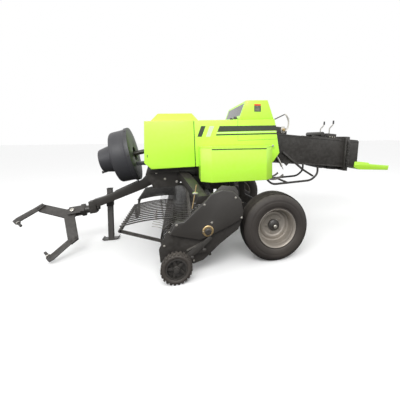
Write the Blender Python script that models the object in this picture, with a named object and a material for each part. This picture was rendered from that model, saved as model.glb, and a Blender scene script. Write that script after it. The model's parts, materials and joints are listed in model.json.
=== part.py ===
"""A drawn square baler: chassis on two wheels, hitch, pickup, bale chamber, knotter and covers.

Sizes are in metres. X points forward, Y to the machine's left and Z up. Every place below is
measured from the axle line at ground level; the empty called machine moves it all, so that the
world origin is the middle of the machine's footprint on the ground.
"""

import bmesh
import bpy
import math
from mathutils import Matrix, Vector

# ---- overall -------------------------------------------------------------------------------
AXLE_FROM_ORIGIN = -0.386
SEAT_GAP = 0.0004

# ---- road wheels ---------------------------------------------------------------------------
WHEEL_RADIUS = 0.38
TRACK = 1.90
TYRE_HALF_WIDTH = 0.132
RIM_RADIUS = 0.217
RIM_HALF_WIDTH = 0.130
HUB_RADIUS = 0.062
SPINDLE_RADIUS = 0.025
RUNNING_GAP = 0.0006
AXLE_BEAM = 0.09

# ---- bale chamber --------------------------------------------------------------------------
BALE_WIDTH = 0.46
BALE_HEIGHT = 0.36
CHAMBER_WALL = 0.020
CHAMBER_DECK = 0.0275
CHAMBER_TILT = math.radians(5.3)
CHAMBER_POINT = (-0.60, 1.19)
CHAMBER_REAR = -1.055
CHAMBER_FRONT = 1.52
FEED_OPENING = (0.90, 1.28)
NEEDLE_SPACING = 0.21

# ---- green covers --------------------------------------------------------------------------
COVER_HALF_WIDTH = 0.575
COVER_SHEET = 0.025
COVER_RAKE = 0.024
COVER_TOP = 1.585
COVER_BOTTOM = 1.035
SEAM_X = 0.84
SEAM_GAP = 0.008
TWINE_BOX_FACE = 0.955
TWINE_BOX_BOTTOM = 0.895
TWINE_BOX_TOP = 1.262
TWINE_BOX_SHEET = 0.008
LID_SHEET = 0.012

# ---- drive line ----------------------------------------------------------------------------
DRIVE_TILT = math.radians(12.5)
DRIVE_POINT = (1.595, 1.17)
GUARD_RADIUS = 0.352
GUARD_SHEET = 0.010
FLYWHEEL_RADIUS = 0.315
FLYWHEEL_WIDTH = 0.085

# ---- tongue, hitch and jack ----------------------------------------------------------------
TONGUE_WIDTH = 0.10
HITCH_POINT = (2.345, 0.445)
HITCH_PITCH = math.radians(6.9)
HITCH_ROLL = math.radians(-40.0)
HITCH_YAW = math.radians(39.8)
LINK_PIN_SPREAD = 0.76
JACK_X = 1.945
JACK_Y = -0.135
JACK_TUBE = 0.078
JACK_LEG = 0.064

# ---- pickup --------------------------------------------------------------------------------
PICKUP_HALF_WIDTH = 1.105
SIDE_SHEET = 0.010
REEL = (1.04, 0.345)
REEL_RADIUS = 0.30
TINE_BAR_RADIUS = 0.125
BAND_RADIUS = 0.185
TINE_BARS = 4
BAND_PITCH = 0.074
BANDS = 2 * int((PICKUP_HALF_WIDTH - 0.14) / BAND_PITCH) + 1
AUGER = (0.60, 0.50)
AUGER_RADIUS = 0.118
FLIGHT_PITCH = 0.17
FLIGHT_TURNS = 4
PICKUP_PIVOT = (0.56, 0.72)
PIVOT_RADIUS = 0.028
GAUGE_RADIUS = 0.147
GAUGE_X = 1.066
GAUGE_Y = PICKUP_HALF_WIDTH + 0.101
GAUGE_HALF_WIDTH = 0.045
COVER_FACE = PICKUP_HALF_WIDTH + 0.035
GAUGE_ARM_FACE = PICKUP_HALF_WIDTH + 0.047
WIND_BAR = (1.58, 0.50)
WIND_PIVOT = (1.12, 0.335)
WIND_FINGER_PAIRS = (BANDS - 1) // 4


# ---- finishes ------------------------------------------------------------------------------
def finish(name, colour, roughness, metallic=0.0):
    """A Principled finish, made once and shared."""
    material = bpy.data.materials.get(name) or bpy.data.materials.new(name)
    material.use_nodes = True
    shader = material.node_tree.nodes["Principled BSDF"]
    shader.inputs["Base Color"].default_value = (*colour, 1.0)
    shader.inputs["Roughness"].default_value = roughness
    shader.inputs["Metallic"].default_value = metallic
    material.diffuse_color = (*colour, 1.0)
    return material


def black():
    return finish("black_paint", (0.03, 0.03, 0.028), 0.45)


def green():
    return finish("green_paint", (0.50, 0.83, 0.05), 0.35)


def rubber():
    return finish("rubber", (0.028, 0.026, 0.025), 0.75)


def silver():
    return finish("rim_paint", (0.42, 0.39, 0.36), 0.45, 0.5)


def steel():
    return finish("bare_steel", (0.45, 0.44, 0.40), 0.40, 0.9)


# ---- shapes --------------------------------------------------------------------------------
def closed_mesh(bm):
    bmesh.ops.recalc_face_normals(bm, faces=bm.faces)
    mesh = bpy.data.meshes.new("shape")
    bm.to_mesh(mesh)
    bm.free()
    return mesh


def prism(outline, along, low, high):
    """A straight solid with this outline across the axis `along`, from low to high."""
    place = {
        "X": lambda a, b, t: (t, a, b),
        "Y": lambda a, b, t: (a, t, b),
        "Z": lambda a, b, t: (a, b, t),
    }[along]
    bm = bmesh.new()
    ends = [[bm.verts.new(place(a, b, t)) for a, b in outline] for t in (low, high)]
    bm.faces.new(ends[0])
    bm.faces.new(reversed(ends[1]))
    for i in range(len(outline)):
        j = (i + 1) % len(outline)
        bm.faces.new((ends[0][i], ends[1][i], ends[1][j], ends[0][j]))
    return closed_mesh(bm)


def block(x, y, z):
    """A rectangular solid between the two values of each pair."""
    return prism([(x[0], z[0]), (x[1], z[0]), (x[1], z[1]), (x[0], z[1])], "Y", *y)


def turned(profile, centre, steps=32, axis="Y"):
    """A solid of revolution. The profile holds (radius, place along the axis)."""
    bm = bmesh.new()
    rings = []
    for radius, along in profile:
        count = steps if radius > 0 else 1
        ring = []
        for k in range(count):
            angle = 2 * math.pi * k / steps - math.pi / 2
            a, b = radius * math.cos(angle), radius * math.sin(angle)
            spot = (a, along, b) if axis == "Y" else (along, a, b)
            ring.append(bm.verts.new(Vector(centre) + Vector(spot)))
        rings.append(ring)
    open_ended = profile[0][0] == 0
    for one, two in zip(rings, rings[1:] + ([] if open_ended else rings[:1])):
        for k in range(steps):
            j = (k + 1) % steps
            corners = [one[k % len(one)], two[k % len(two)], two[j % len(two)], one[j % len(one)]]
            bm.faces.new(list(dict.fromkeys(corners)))
    return closed_mesh(bm)


def swept(points, half_width, half_depth=None, sides=8, up=(0, 0, 1)):
    """A bar or tube that follows the points: round, or a rectangle where half_depth is given."""
    points = [Vector(p) for p in points]
    bm = bmesh.new()
    rings = []
    for i, point in enumerate(points):
        before = (point - points[i - 1]).normalized() if i else None
        after = (points[i + 1] - point).normalized() if i + 1 < len(points) else None
        heading = ((before or after) + (after or before)).normalized()
        across = Vector(up).cross(heading).normalized()
        over = heading.cross(across)
        stretch = 1 / max(heading.dot(after or before), 0.3)
        if half_depth is None:
            angles = [2 * math.pi * (k + 0.5) / sides for k in range(sides)]
            spots = [(half_width * math.cos(a), half_width * math.sin(a)) for a in angles]
        else:
            w, d = half_width, half_depth
            spots = [(w, -d), (w, d), (-w, d), (-w, -d)]
        bend = (after - before) if before and after else Vector()
        ring = []
        for a, b in spots:
            offset = across * a + over * b
            if bend.length > 1e-6:
                inward = bend.normalized()
                offset += inward * offset.dot(inward) * (stretch - 1)
            ring.append(bm.verts.new(point + offset))
        rings.append(ring)
    bm.faces.new(rings[0])
    bm.faces.new(rings[-1])
    for one, two in zip(rings, rings[1:]):
        for k in range(len(one)):
            j = (k + 1) % len(one)
            bm.faces.new((one[k], two[k], two[j], one[j]))
    return closed_mesh(bm)


def arc(centre, radius, first, last, steps):
    """Points on an arc, by angles in degrees from +X towards +Z."""
    turn = [math.radians(first + (last - first) * k / steps) for k in range(steps + 1)]
    return [(centre[0] + radius * math.cos(t), centre[1] + radius * math.sin(t)) for t in turn]


def moved(mesh, matrix):
    """A copy of the shape under this matrix, with its faces still pointing out."""
    copy = mesh.copy()
    copy.transform(matrix)
    if matrix.determinant() < 0:
        copy.flip_normals()
    return copy


def turn_about(x, z, angle):
    """A turn about the line along Y through (x, z). A positive angle lowers the front."""
    return (
        Matrix.Translation((x, 0, z))
        @ Matrix.Rotation(angle, 4, "Y")
        @ Matrix.Translation((-x, 0, -z))
    )


def flipped(shapes, side):
    """The shapes themselves on the left, side 1, or their mirror image on the right, side -1."""
    return [moved(s, Matrix.Diagonal((1, side, 1, 1))) for s in shapes]


def node(name, material, shapes, cuts=(), pivot=(0, 0, 0)):
    """One named piece: its shapes united, less its cuts, with its origin at its pivot."""
    back = Matrix.Translation(-Vector(pivot))
    first, *others = [moved(s, back) for s in shapes]
    first.name = name
    first.materials.clear()
    first.materials.append(material)
    piece = bpy.data.objects.new(name, first)
    bpy.context.scene.collection.objects.link(piece)
    piece.parent = bpy.data.objects["machine"]
    piece.location = pivot
    for operation, tools in (("UNION", others), ("DIFFERENCE", [moved(c, back) for c in cuts])):
        if not tools:
            continue
        helpers = bpy.data.collections.new(f"{name}_{operation.lower()}")
        bpy.context.scene.collection.children.link(helpers)
        for tool in tools:
            helper = bpy.data.objects.new(f"{name}_tool", tool)
            helper.hide_render = True
            helper.display_type = "WIRE"
            helper.parent = piece
            helpers.objects.link(helper)
        boolean = piece.modifiers.new(operation.title(), "BOOLEAN")
        boolean.operand_type = "COLLECTION"
        boolean.collection = helpers
        boolean.operation = operation
        boolean.solver = "EXACT"
    return piece


# ---- frames of reference -------------------------------------------------------------------
def along_chamber(shapes):
    """From the chamber's own axes, with x along it and z across it, to the machine's."""
    x, z = CHAMBER_POINT
    place = Matrix.Translation((x, 0, z)) @ Matrix.Rotation(-CHAMBER_TILT, 4, "Y")
    return [moved(s, place) for s in shapes]


def raked(shapes):
    """The covers stand a little higher at the back than at the front."""
    return [moved(s, turn_about(0.60, 1.30, COVER_RAKE)) for s in shapes]


def on_drive(shapes):
    """From axes with x along the drive line, forward, and z across it."""
    x, z = DRIVE_POINT
    place = Matrix.Translation((x, 0, z)) @ Matrix.Rotation(DRIVE_TILT, 4, "Y")
    return [moved(s, place) for s in shapes]


def swivel_frame():
    x, z = HITCH_POINT
    return (
        Matrix.Translation((x, 0, z))
        @ Matrix.Rotation(HITCH_PITCH, 4, "Y")
        @ Matrix.Rotation(HITCH_ROLL, 4, "X")
    )


# ---- road wheels and axle ------------------------------------------------------------------
def wheel(side, suffix):
    middle = (0, side * TRACK / 2, WHEEL_RADIUS)
    r, w, t = RIM_RADIUS, RIM_HALF_WIDTH, WHEEL_RADIUS
    seat = HUB_RADIUS + SEAT_GAP
    rim = [
        (r, w), (r, w - 0.008), (r - 0.019, w - 0.020), (r - 0.027, 0), (r - 0.019, 0.020 - w),
        (r, 0.008 - w), (r, -w), (r - 0.017, -w), (r - 0.029, 0.025 - w), (r - 0.036, -0.022),
        (0.115, -0.012), (seat, -0.012), (seat, 0.0), (0.120, 0.0), (r - 0.036, -0.010),
        (r - 0.029, w - 0.025), (r - 0.017, w),
    ]
    s = TYRE_HALF_WIDTH
    half = [
        (r - 0.0175, w - 0.0225), (r + 0.0015, w - 0.0100), (r + 0.020, s - 0.004), (t - 0.095, s),
        (t - 0.050, s - 0.012), (t - 0.018, s - 0.034), (t - 0.004, s - 0.056), (t, s - 0.075),
    ]
    tyre = half + [(a, -b) for a, b in reversed(half)]
    bore = SPINDLE_RADIUS + RUNNING_GAP
    hub = [
        (0, 0.075), (0.020, 0.072), (0.026, 0.060), (0.026, 0.040), (0.045, 0.036),
        (HUB_RADIUS, 0.026), (HUB_RADIUS, -0.050), (0.048, -0.066), (bore, -0.066), (bore, 0.030),
        (0, 0.030),
    ]

    def facing(profile):
        return [(a, side * b) for a, b in profile]

    node(f"tyre_{suffix}", rubber(), [turned(facing(tyre), middle, 24)], pivot=middle)
    node(f"rim_{suffix}", silver(), [turned(facing(rim), middle, 20)], pivot=middle)
    node(f"hub_{suffix}", black(), [turned(facing(hub), middle, 20)], pivot=middle)


def axle_beam():
    half, z = AXLE_BEAM / 2, WHEEL_RADIUS
    end = TRACK / 2 - 0.075
    reach = TRACK / 2 + 0.028
    shapes = [block((-half, half), (-end + 0.02, end - 0.02), (z - half, z + half))]
    shapes.append(turned([(0, -reach), (SPINDLE_RADIUS, -reach), (SPINDLE_RADIUS, reach), (0, reach)],
                         (0, 0, z), 20))
    for side in (-1, 1):
        lows = sorted((side * (end - 0.03), side * end))
        shapes.append(turned([(0, lows[0]), (0.055, lows[0]), (0.055, lows[1]), (0, lows[1])],
                             (0, 0, z), 20))
    node("axle_beam", black(), shapes)


# ---- chassis -------------------------------------------------------------------------------
FRAME_RAIL_Y = (0.36, 0.42)
FRAME_RAIL_Z = (0.955, 1.025)
LEG_Y = (0.305, 0.358)
FRONT_PLATE = [(0.93, 1.03), (0.93, 0.90), (1.08, 0.765), (1.335, 0.765), (1.425, 0.93), (1.395, 1.03)]
OUTRIGGER_END = (0.80, PICKUP_HALF_WIDTH - 0.105, 0.735)
HANGER_Y = (PICKUP_HALF_WIDTH - 0.105, PICKUP_HALF_WIDTH - 0.085)
GUARD_POST_FACE = 1.40
CROSS_TOP = 1.02


def chamber_floor(x):
    """Height of the chamber's underside at this place along the machine."""
    low = -(BALE_HEIGHT / 2 + CHAMBER_DECK)
    c, s = math.cos(CHAMBER_TILT), math.sin(CHAMBER_TILT)
    along = (x - CHAMBER_POINT[0] + low * s) / c
    return CHAMBER_POINT[1] + along * s + low * c


def chamber_support(x, deep):
    """A block from a cross member up to the chamber's floor."""
    back, front = x - deep / 2, x + deep / 2
    outline = [(back, CROSS_TOP - 0.03), (front, CROSS_TOP - 0.03),
               (front, chamber_floor(front) - SEAT_GAP), (back, chamber_floor(back) - SEAT_GAP)]
    return prism(outline, "Y", -0.22, 0.22)


def chassis_frame():
    low = WHEEL_RADIUS + AXLE_BEAM / 2 + SEAT_GAP
    leg = [(-0.075, low), (-0.075, low + 0.055), (0.185, 0.62), (0.190, 1.0), (0.262, 1.0),
           (0.250, 0.56), (0.075, low)]
    px, pz = PICKUP_PIVOT
    ox, oy, oz = OUTRIGGER_END
    shapes = []
    for side in (-1, 1):
        shapes += flipped(
            [
                block((0.19, 1.38), FRAME_RAIL_Y, FRAME_RAIL_Z),
                prism(FRONT_PLATE, "Y", 0.352, 0.372),
                prism(leg, "Y", *LEG_Y),
                block((-0.165, 1.34), (0.485, 0.545), (1.045, 1.085)),
                block((0.19, 0.25), (0.41, 0.545), (1.00, 1.06)),
                block((0.62, 0.68), (0.41, 0.545), (1.00, 1.06)),
                block((1.28, 1.34), (0.41, 0.545), (1.00, 1.06)),
                block((-0.165, -0.125), (0.505, 0.545), (1.06, 1.59)),
                block((0.82, 0.86), (0.505, 0.545), (1.06, 1.568)),
                swept([(1.01, 0.30, 0.95), (ox, oy + 0.02, oz)], 0.055, 0.045),
                prism([(ox + 0.07, oz - 0.045), (ox + 0.07, oz + 0.045), (px - 0.03, pz + 0.05),
                       (px - 0.05, pz), (px - 0.03, pz - 0.045)], "Y", *HANGER_Y),
                turned([(0, oy + 0.005), (PIVOT_RADIUS, oy + 0.005), (PIVOT_RADIUS, PICKUP_HALF_WIDTH),
                        (0, PICKUP_HALF_WIDTH)], (px, 0, pz), 16),
            ],
            side,
        )
    shapes += [
        block((0.185, 0.265), (-0.37, 0.37), (0.955, CROSS_TOP)),
        block((0.80, 0.87), (-0.37, 0.37), (0.955, CROSS_TOP)),
        block((1.30, 1.37), (-0.365, 0.365), (0.945, CROSS_TOP)),
        block((1.36, GUARD_POST_FACE), (-0.10, 0.10), (0.95, 1.09)),
        block((-0.165, -0.125), (-0.54, 0.54), (1.555, 1.59)),
        block((0.82, 0.86), (-0.54, 0.54), (1.54, 1.568)),
        chamber_support(0.225, 0.06),
        chamber_support(0.835, 0.06),
    ]
    node("chassis_frame", black(), shapes)


def tongue():
    half = TONGUE_WIDTH / 2
    under = 0.945 - SEAT_GAP
    beam = [(2.05, 0.495), (2.11, 0.585), (1.96, 0.628), (1.52, 0.815), (1.40, under),
            (1.20, under), (1.20, 0.85), (1.49, 0.70)]
    socket = JACK_TUBE / 2
    shapes = [
        prism(beam, "Y", -half, half),
        block((1.24, 1.34), (-0.352 + SEAT_GAP, 0.352 - SEAT_GAP), (0.86, 0.90)),
        block((JACK_X - 0.045, JACK_X + 0.045), (JACK_Y + socket - 0.005, -half + 0.005), (0.535, 0.600)),
        block((JACK_X - socket, JACK_X + socket), (JACK_Y - socket, JACK_Y + socket), (0.46, 0.62)),
        swept([(1.86, 0, 0.655), (1.84, 0, 0.685), (1.56, 0, 0.808), (1.55, 0, 0.78)], 0.006, 0.006),
    ]
    x, z = HITCH_POINT
    pitch = Matrix.Translation((x, 0, z)) @ Matrix.Rotation(HITCH_PITCH, 4, "Y")
    lug = moved(block((-0.28, -0.2006), (-0.05, 0.05), (-0.055, 0.10)), pitch)
    bore = [(0, -0.32), (0.0226, -0.32), (0.0226, -0.15), (0, -0.15)]
    bore = moved(turned(bore, (0, 0, 0), 16, "X"), pitch)
    nut_room = moved(turned([(0, -0.345), (0.04, -0.345), (0.04, -0.2801), (0, -0.2801)], (0, 0, 0), 16, "X"),
                     pitch)
    leg = JACK_LEG / 2 + SEAT_GAP
    jack_bore = block((JACK_X - leg, JACK_X + leg), (JACK_Y - leg, JACK_Y + leg), (0.40, 0.70))
    node("tongue", black(), shapes + [lug], [bore, nut_room, jack_bore])


def hitch():
    frame = swivel_frame()
    joined = turned([(0, -0.3106), (0.030, -0.3106), (0.030, -0.2806), (0.022, -0.2806), (0.022, -0.200),
                     (0.048, -0.200), (0.048, -0.120), (0, -0.120)], (0, 0, 0), 16, "X")
    shapes = [
        joined,
        block((-0.15, -0.10), (-0.055, 0.055), (-0.055, 0.055)),
        block((-0.12, 0.045), (-0.055, 0.055), (0.020, 0.034)),
        block((-0.12, 0.045), (-0.055, 0.055), (-0.034, -0.020)),
        moved(turned([(0, -0.045), (0.016, -0.045), (0.016, 0.045), (0, 0.045)], (0, 0, 0), 16),
              Matrix.Rotation(math.pi / 2, 4, "X")),
    ]
    node("hitch_swivel", black(), [moved(s, frame) for s in shapes], pivot=frame.translation)

    turn = frame @ Matrix.Rotation(HITCH_YAW, 4, "Z")
    plate = [(-0.045, -0.04), (-0.045, 0.04), (0.03, 0.085), (0.165, 0.395), (0.25, 0.395), (0.25, 0.33),
             (0.115, 0.0), (0.25, -0.33), (0.25, -0.395), (0.165, -0.395), (0.03, -0.085)]
    eye = moved(turned([(0, -0.03), (0.0166, -0.03), (0.0166, 0.03), (0, 0.03)], (0, 0, 0), 16),
                Matrix.Rotation(math.pi / 2, 4, "X"))
    node("hitch_yoke", black(), [moved(prism(plate, "Z", -0.011, 0.011), turn)], [moved(eye, turn)],
         pivot=frame.translation)
    pin = LINK_PIN_SPREAD / 2
    for side, suffix in ((1, "left"), (-1, "right")):
        low = 0.011 + SEAT_GAP
        arm = [(0.155, 0.345), (0.165, 0.40), (0.26, 0.405), (0.45, pin + 0.045), (0.50, pin + 0.035),
               (0.50, pin - 0.03), (0.44, pin - 0.035), (0.25, 0.33)]
        pieces = [
            prism(arm, "Z", low, low + 0.014),
            turned([(0, pin - 0.11), (0.014, pin - 0.11), (0.014, pin), (0, pin)],
                   (0.47, 0, low + 0.007), 12),
        ]
        node(f"hitch_arm_{suffix}", black(), [moved(s, turn) for s in flipped(pieces, side)],
             pivot=frame.translation)


def jack():
    leg = JACK_LEG / 2
    foot = [(-0.105, 0.022), (-0.080, 0.0), (0.080, 0.0), (0.105, 0.022), (0.100, 0.030), (0.077, 0.010),
            (-0.077, 0.010), (-0.100, 0.030)]
    shapes = [
        prism([(JACK_X + a, b) for a, b in foot], "Y", JACK_Y - 0.06, JACK_Y + 0.06),
        block((JACK_X - leg, JACK_X + leg), (JACK_Y - leg, JACK_Y + leg), (0.005, 0.70)),
    ]
    node("jack_leg", black(), shapes, pivot=(JACK_X, JACK_Y, 0.54))


# ---- drive line ----------------------------------------------------------------------------
def drive_line():
    r, t = GUARD_RADIUS, GUARD_SHEET
    guard = [
        (r, 0), (r, 0.055), (r - 0.012, 0.06), (r - 0.022, 0.22), (0.178, 0.265), (0.140, 0.41),
        (0.140 - t, 0.41), (0.178 - t, 0.265 - t), (r - 0.022 - t, 0.22 - t), (r - t, 0.04), (r - t, t),
        (0.09, t), (0.09, 0),
    ]
    bracket = block((GUARD_POST_FACE + SEAT_GAP, 1.572), (-0.09, 0.09), (1.02, 1.06))
    node("flywheel_guard", black(), on_drive([turned(guard, (0, 0, 0), 26, "X")]) + [bracket])
    f, w = FLYWHEEL_RADIUS, FLYWHEEL_WIDTH
    wheel_profile = [
        (0, -0.249), (0.030, -0.249), (0.030, 0.03), (0.07, 0.04), (f - 0.05, 0.085), (f - 0.05, 0.045),
        (f, 0.045), (f, 0.045 + w), (f - 0.05, 0.045 + w), (0.07, 0.115), (0.05, 0.15), (0.0225, 0.16),
        (0.0225, 0.345), (0, 0.345),
    ]
    node("flywheel", black(), on_drive([turned(wheel_profile, (0, 0, 0), 20, "X")]),
         pivot=(DRIVE_POINT[0], 0, DRIVE_POINT[1]))
    boss = [(0, -0.42), (0.075, -0.42), (0.065, -0.2496), (0, -0.2496)]
    boss = on_drive([turned(boss, (0, 0, 0), 16, "X")])
    case = [
        block((0.995, 1.35), (-0.13, 0.13), (CROSS_TOP + SEAT_GAP, 1.06)),
        prism([(1.03, 1.05), (1.27, 1.05), (1.29, 1.16), (1.27, 1.38), (1.20, 1.43), (1.08, 1.43),
               (1.03, 1.37)],
              "Y", -0.13, 0.13),
    ]
    node("gearbox", black(), case + boss)


# ---- bale chamber and what it carries ------------------------------------------------------
DECK_TOP = BALE_HEIGHT / 2 + CHAMBER_DECK
CHAMBER_SIDE = BALE_WIDTH / 2 + CHAMBER_WALL


def bale_chamber():
    w, h = BALE_WIDTH / 2, BALE_HEIGHT / 2
    shapes = [block((CHAMBER_REAR, CHAMBER_FRONT), (-CHAMBER_SIDE, CHAMBER_SIDE), (-DECK_TOP, DECK_TOP))]
    cuts = [
        block((CHAMBER_REAR - 1, CHAMBER_FRONT + 1), (-w, w), (-h, h)),
        block(FEED_OPENING, (-w + 0.01, w - 0.01), (-DECK_TOP - 0.1, 0)),
    ]
    for y in (-NEEDLE_SPACING / 2, NEEDLE_SPACING / 2):
        cuts.append(block((0.25, 0.60), (y - 0.03, y + 0.03), (0, DECK_TOP + 0.1)))
        cuts.append(block((0.25, 0.60), (y - 0.03, y + 0.03), (-DECK_TOP - 0.1, 0)))
    node("bale_chamber", black(), along_chamber(shapes), along_chamber(cuts))


def plunger():
    w, h = BALE_WIDTH / 2 - SEAT_GAP, BALE_HEIGHT / 2 - SEAT_GAP
    shapes = along_chamber([block((FEED_OPENING[1] + 0.01, CHAMBER_FRONT - 0.03), (-w, w), (-h, h))])
    end = 1.03 - SEAT_GAP
    rod = prism([(0.80, 1.28), (end, 1.26), (end, 1.32), (0.80, 1.34)], "Y", -0.03, 0.03)
    node("plunger", black(), shapes + [rod])


def feed_duct():
    top_back, top_front = (0.33, chamber_floor(0.33) - SEAT_GAP), (0.66, chamber_floor(0.66) - SEAT_GAP)
    side = [top_back, top_front, (0.66, 0.80), (0.62, 0.68), (0.44, 0.68), (0.36, 0.80)]
    back = [top_back, (0.36, 0.80), (0.44, 0.68), (0.448, 0.686), (0.369, 0.806),
            (0.34, chamber_floor(0.34) - SEAT_GAP)]
    y, t = CHAMBER_SIDE - 0.025, 0.010
    shapes = [prism(side, "Y", y, y + t), prism(side, "Y", -y - t, -y),
              prism(back, "Y", -y - t / 2, y + t / 2)]
    node("feed_duct", black(), shapes)


def needle_frame():
    """The needles at home under the chamber, with the tube frame that guards them."""
    shapes = []
    bar = 0.016
    for y in (-0.235, 0.235):
        path = [(-0.15, y, chamber_floor(-0.15 - bar) - SEAT_GAP), (-0.15, y, 0.80), (-0.25, y, 0.70),
                (-0.86, y, 0.73), (-0.97, y, 0.82), (-0.97, y, chamber_floor(-0.97 - bar) - SEAT_GAP)]
        shapes.append(swept(path, bar, bar, up=(0, 1, 0)))
    shapes.append(block((-0.50, -0.46), (-0.24, 0.24), (0.70, 0.73)))
    shapes.append(block((-0.18, -0.15), (-0.24, 0.24), (0.80, 0.83)))
    for y in (-NEEDLE_SPACING / 2, NEEDLE_SPACING / 2):
        blade = [(-0.165, y, 0.815)] + [(a, y, b) for a, b in arc((-0.32, 0.97), 0.22, 315, 225, 5)]
        shapes.append(swept(blade, 0.008, 0.014, up=(0, 1, 0)))
    node("needle_frame", black(), shapes)


def tension_gear():
    outer, top = CHAMBER_SIDE + 0.045, DECK_TOP + 0.05
    x0, x1 = -0.86, -0.795
    ring = block((x0, x1), (-outer, outer), (-top, top))
    hole = block((x0 - 1, x1 + 1), (-CHAMBER_SIDE - SEAT_GAP, CHAMBER_SIDE + SEAT_GAP),
                 (-DECK_TOP - SEAT_GAP, DECK_TOP + SEAT_GAP))
    node("tension_band", black(), along_chamber([ring]), along_chamber([hole]))
    seat = DECK_TOP + SEAT_GAP
    beam = [
        block((-0.79, -0.30), (-0.20, -0.15), (seat, seat + 0.025)),
        block((-0.79, -0.30), (0.15, 0.20), (seat, seat + 0.025)),
        block((-0.67, -0.52), (-0.22, 0.22), (seat + 0.02, seat + 0.075)),
        turned([(0, -0.23), (0.035, -0.23), (0.035, 0.23), (0, 0.23)], (-0.43, 0, seat + 0.055), 12),
    ]
    node("tension_beam", black(), along_chamber(beam))
    base = seat + 0.075 + SEAT_GAP
    for y, suffix in ((0.13, "left"), (-0.13, "right")):
        bends = [(-0.60, y, base), (-0.60, y, base + 0.09), (-0.66, y, base + 0.15), (-0.66, y, base + 0.22)]
        crank = swept(bends, 0.009, sides=8, up=(0, 1, 0))
        node(f"tension_crank_{suffix}", steel(), along_chamber([crank]))


MEASURE_WHEEL = (-0.45, 0.16, 1.478)


def knotter_gear():
    seat = DECK_TOP + SEAT_GAP
    x, y, z = MEASURE_WHEEL
    shapes = along_chamber([
        block((0.22, 0.66), (-0.19, -0.17), (seat, seat + 0.10)),
        block((0.22, 0.66), (0.17, 0.19), (seat, seat + 0.10)),
        block((0.24, 0.32), (-0.18, 0.18), (seat + 0.02, seat + 0.08)),
        turned([(0, -0.22), (0.022, -0.22), (0.022, 0.22), (0, 0.22)], (0.60, 0, seat + 0.075), 12),
        turned([(0, 0.05), (0.062, 0.05), (0.062, 0.15), (0, 0.15)], (0.60, 0, seat + 0.075), 14),
        turned([(0, -0.15), (0.062, -0.15), (0.062, -0.05), (0, -0.05)], (0.60, 0, seat + 0.075), 14),
        block((0.10, 0.26), (y - 0.045, y - 0.035), (seat, seat + 0.09)),
    ])
    shapes += [
        block((x - 0.03, x + 0.10), (y - 0.03, y - 0.02), (1.44, 1.505)),
        block((x + 0.07, x + 0.17), (y - 0.045, y - 0.02), (1.45, 1.505)),
        turned([(0, y - 0.025), (0.008, y - 0.025), (0.008, y + 0.02), (0, y + 0.02)], (x, 0, z), 12),
    ]
    node("knotter_frame", steel(), shapes)
    points = []
    for k in range(16):
        radius = 0.056 if k % 2 else 0.042
        points.append((x + radius * math.cos(math.pi * k / 8), z + radius * math.sin(math.pi * k / 8)))
    bore = turned([(0, y - 0.05), (0.0086, y - 0.05), (0.0086, y + 0.05), (0, y + 0.05)], (x, 0, z), 12)
    node("measuring_wheel", steel(), [prism(points, "Y", y - 0.010, y + 0.010)], [bore], pivot=MEASURE_WHEEL)


def rear_bracket():
    y = CHAMBER_SIDE + SEAT_GAP
    diamond = [(-0.46, 1.14), (-0.55, 1.05), (-0.46, 0.96), (-0.38, 1.04)]
    shapes = [
        prism(diamond, "Y", y, y + 0.012),
        swept([(-0.40, y + 0.02, 1.16), (-0.71, y + 0.02, 0.90), (-0.87, y + 0.02, 0.80)], 0.012, 0.018,
              up=(0, 1, 0)),
    ]
    hole = turned([(0, y - 0.1), (0.025, y - 0.1), (0.025, y + 0.1), (0, y + 0.1)], (-0.47, 0, 1.04), 12)
    node("rear_bracket", steel(), shapes, [hole])


CHUTE_PIVOT = (-1.60, 0.935)


def bale_chute():
    side = [(-1.575, 0.905), (-1.59, 0.985), (-1.65, 0.985), (-1.83, 0.965), (-1.86, 0.94), (-2.22, 0.905),
            (-2.20, 0.835), (-1.67, 0.862)]
    y = CHAMBER_SIDE + 0.005
    floor = [(-1.665, 0.862), (-1.665, 0.870), (-2.205, 0.843), (-2.205, 0.835)]
    x, z = CHUTE_PIVOT
    shapes = [prism(side, "Y", y, y + 0.008), prism(side, "Y", -y - 0.008, -y),
              prism(floor, "Y", -y - 0.004, y + 0.004)]
    for s in (-1, 1):
        shapes += flipped([turned([(0, CHAMBER_SIDE + SEAT_GAP), (0.014, CHAMBER_SIDE + SEAT_GAP),
                                   (0.014, y + 0.016), (0, y + 0.016)], (x, 0, z), 12)], s)
    node("bale_chute", green(), shapes, pivot=(x, 0, z))


# ---- green covers --------------------------------------------------------------------------
def covers():
    out, sheet = COVER_HALF_WIDTH, COVER_SHEET
    top, low = COVER_TOP, COVER_BOTTOM
    door = [(SEAM_X + SEAM_GAP, low), (1.34, low), (1.415, 1.11), (1.395, top), (SEAM_X + SEAM_GAP, top)]
    panel = [(-0.13, low), (SEAM_X, low), (SEAM_X, top), (-0.17, top), (-0.18, 1.50), (-0.225, 1.15)]
    for side, suffix in ((1, "left"), (-1, "right")):
        node(f"front_door_{suffix}", green(), raked(flipped([prism(door, "Y", out - sheet, out)], side)),
             pivot=(SEAM_X + 0.004, side * out, 1.30))
        node(f"main_panel_{suffix}", green(), raked(flipped([prism(panel, "Y", out - sheet, out)], side)))
    inside = out - sheet - SEAT_GAP
    roof = raked([block((-0.15, 1.34), (-inside, inside), (top - 0.010, top))])
    gap = raked([block((-0.12, 0.20), (-0.30, 0.30), (top - 0.1, top + 0.1))])
    node("roof", green(), roof, gap)
    sheet_front = raked([block((1.355, 1.363), (-inside + 0.006, inside - 0.006), (1.10, top - 0.012))])
    shaft_way = on_drive([turned([(0, -0.5), (0.09, -0.5), (0.09, 0.0), (0, 0.0)], (0, 0, 0), 20, "X")])
    legs = raked([block((1.34 + SEAT_GAP, 1.358), (-inside + 0.006, inside - 0.006),
                        (top - 0.03, top - 0.001))])
    node("front_sheet", green(), sheet_front + legs, shaft_way)


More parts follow.
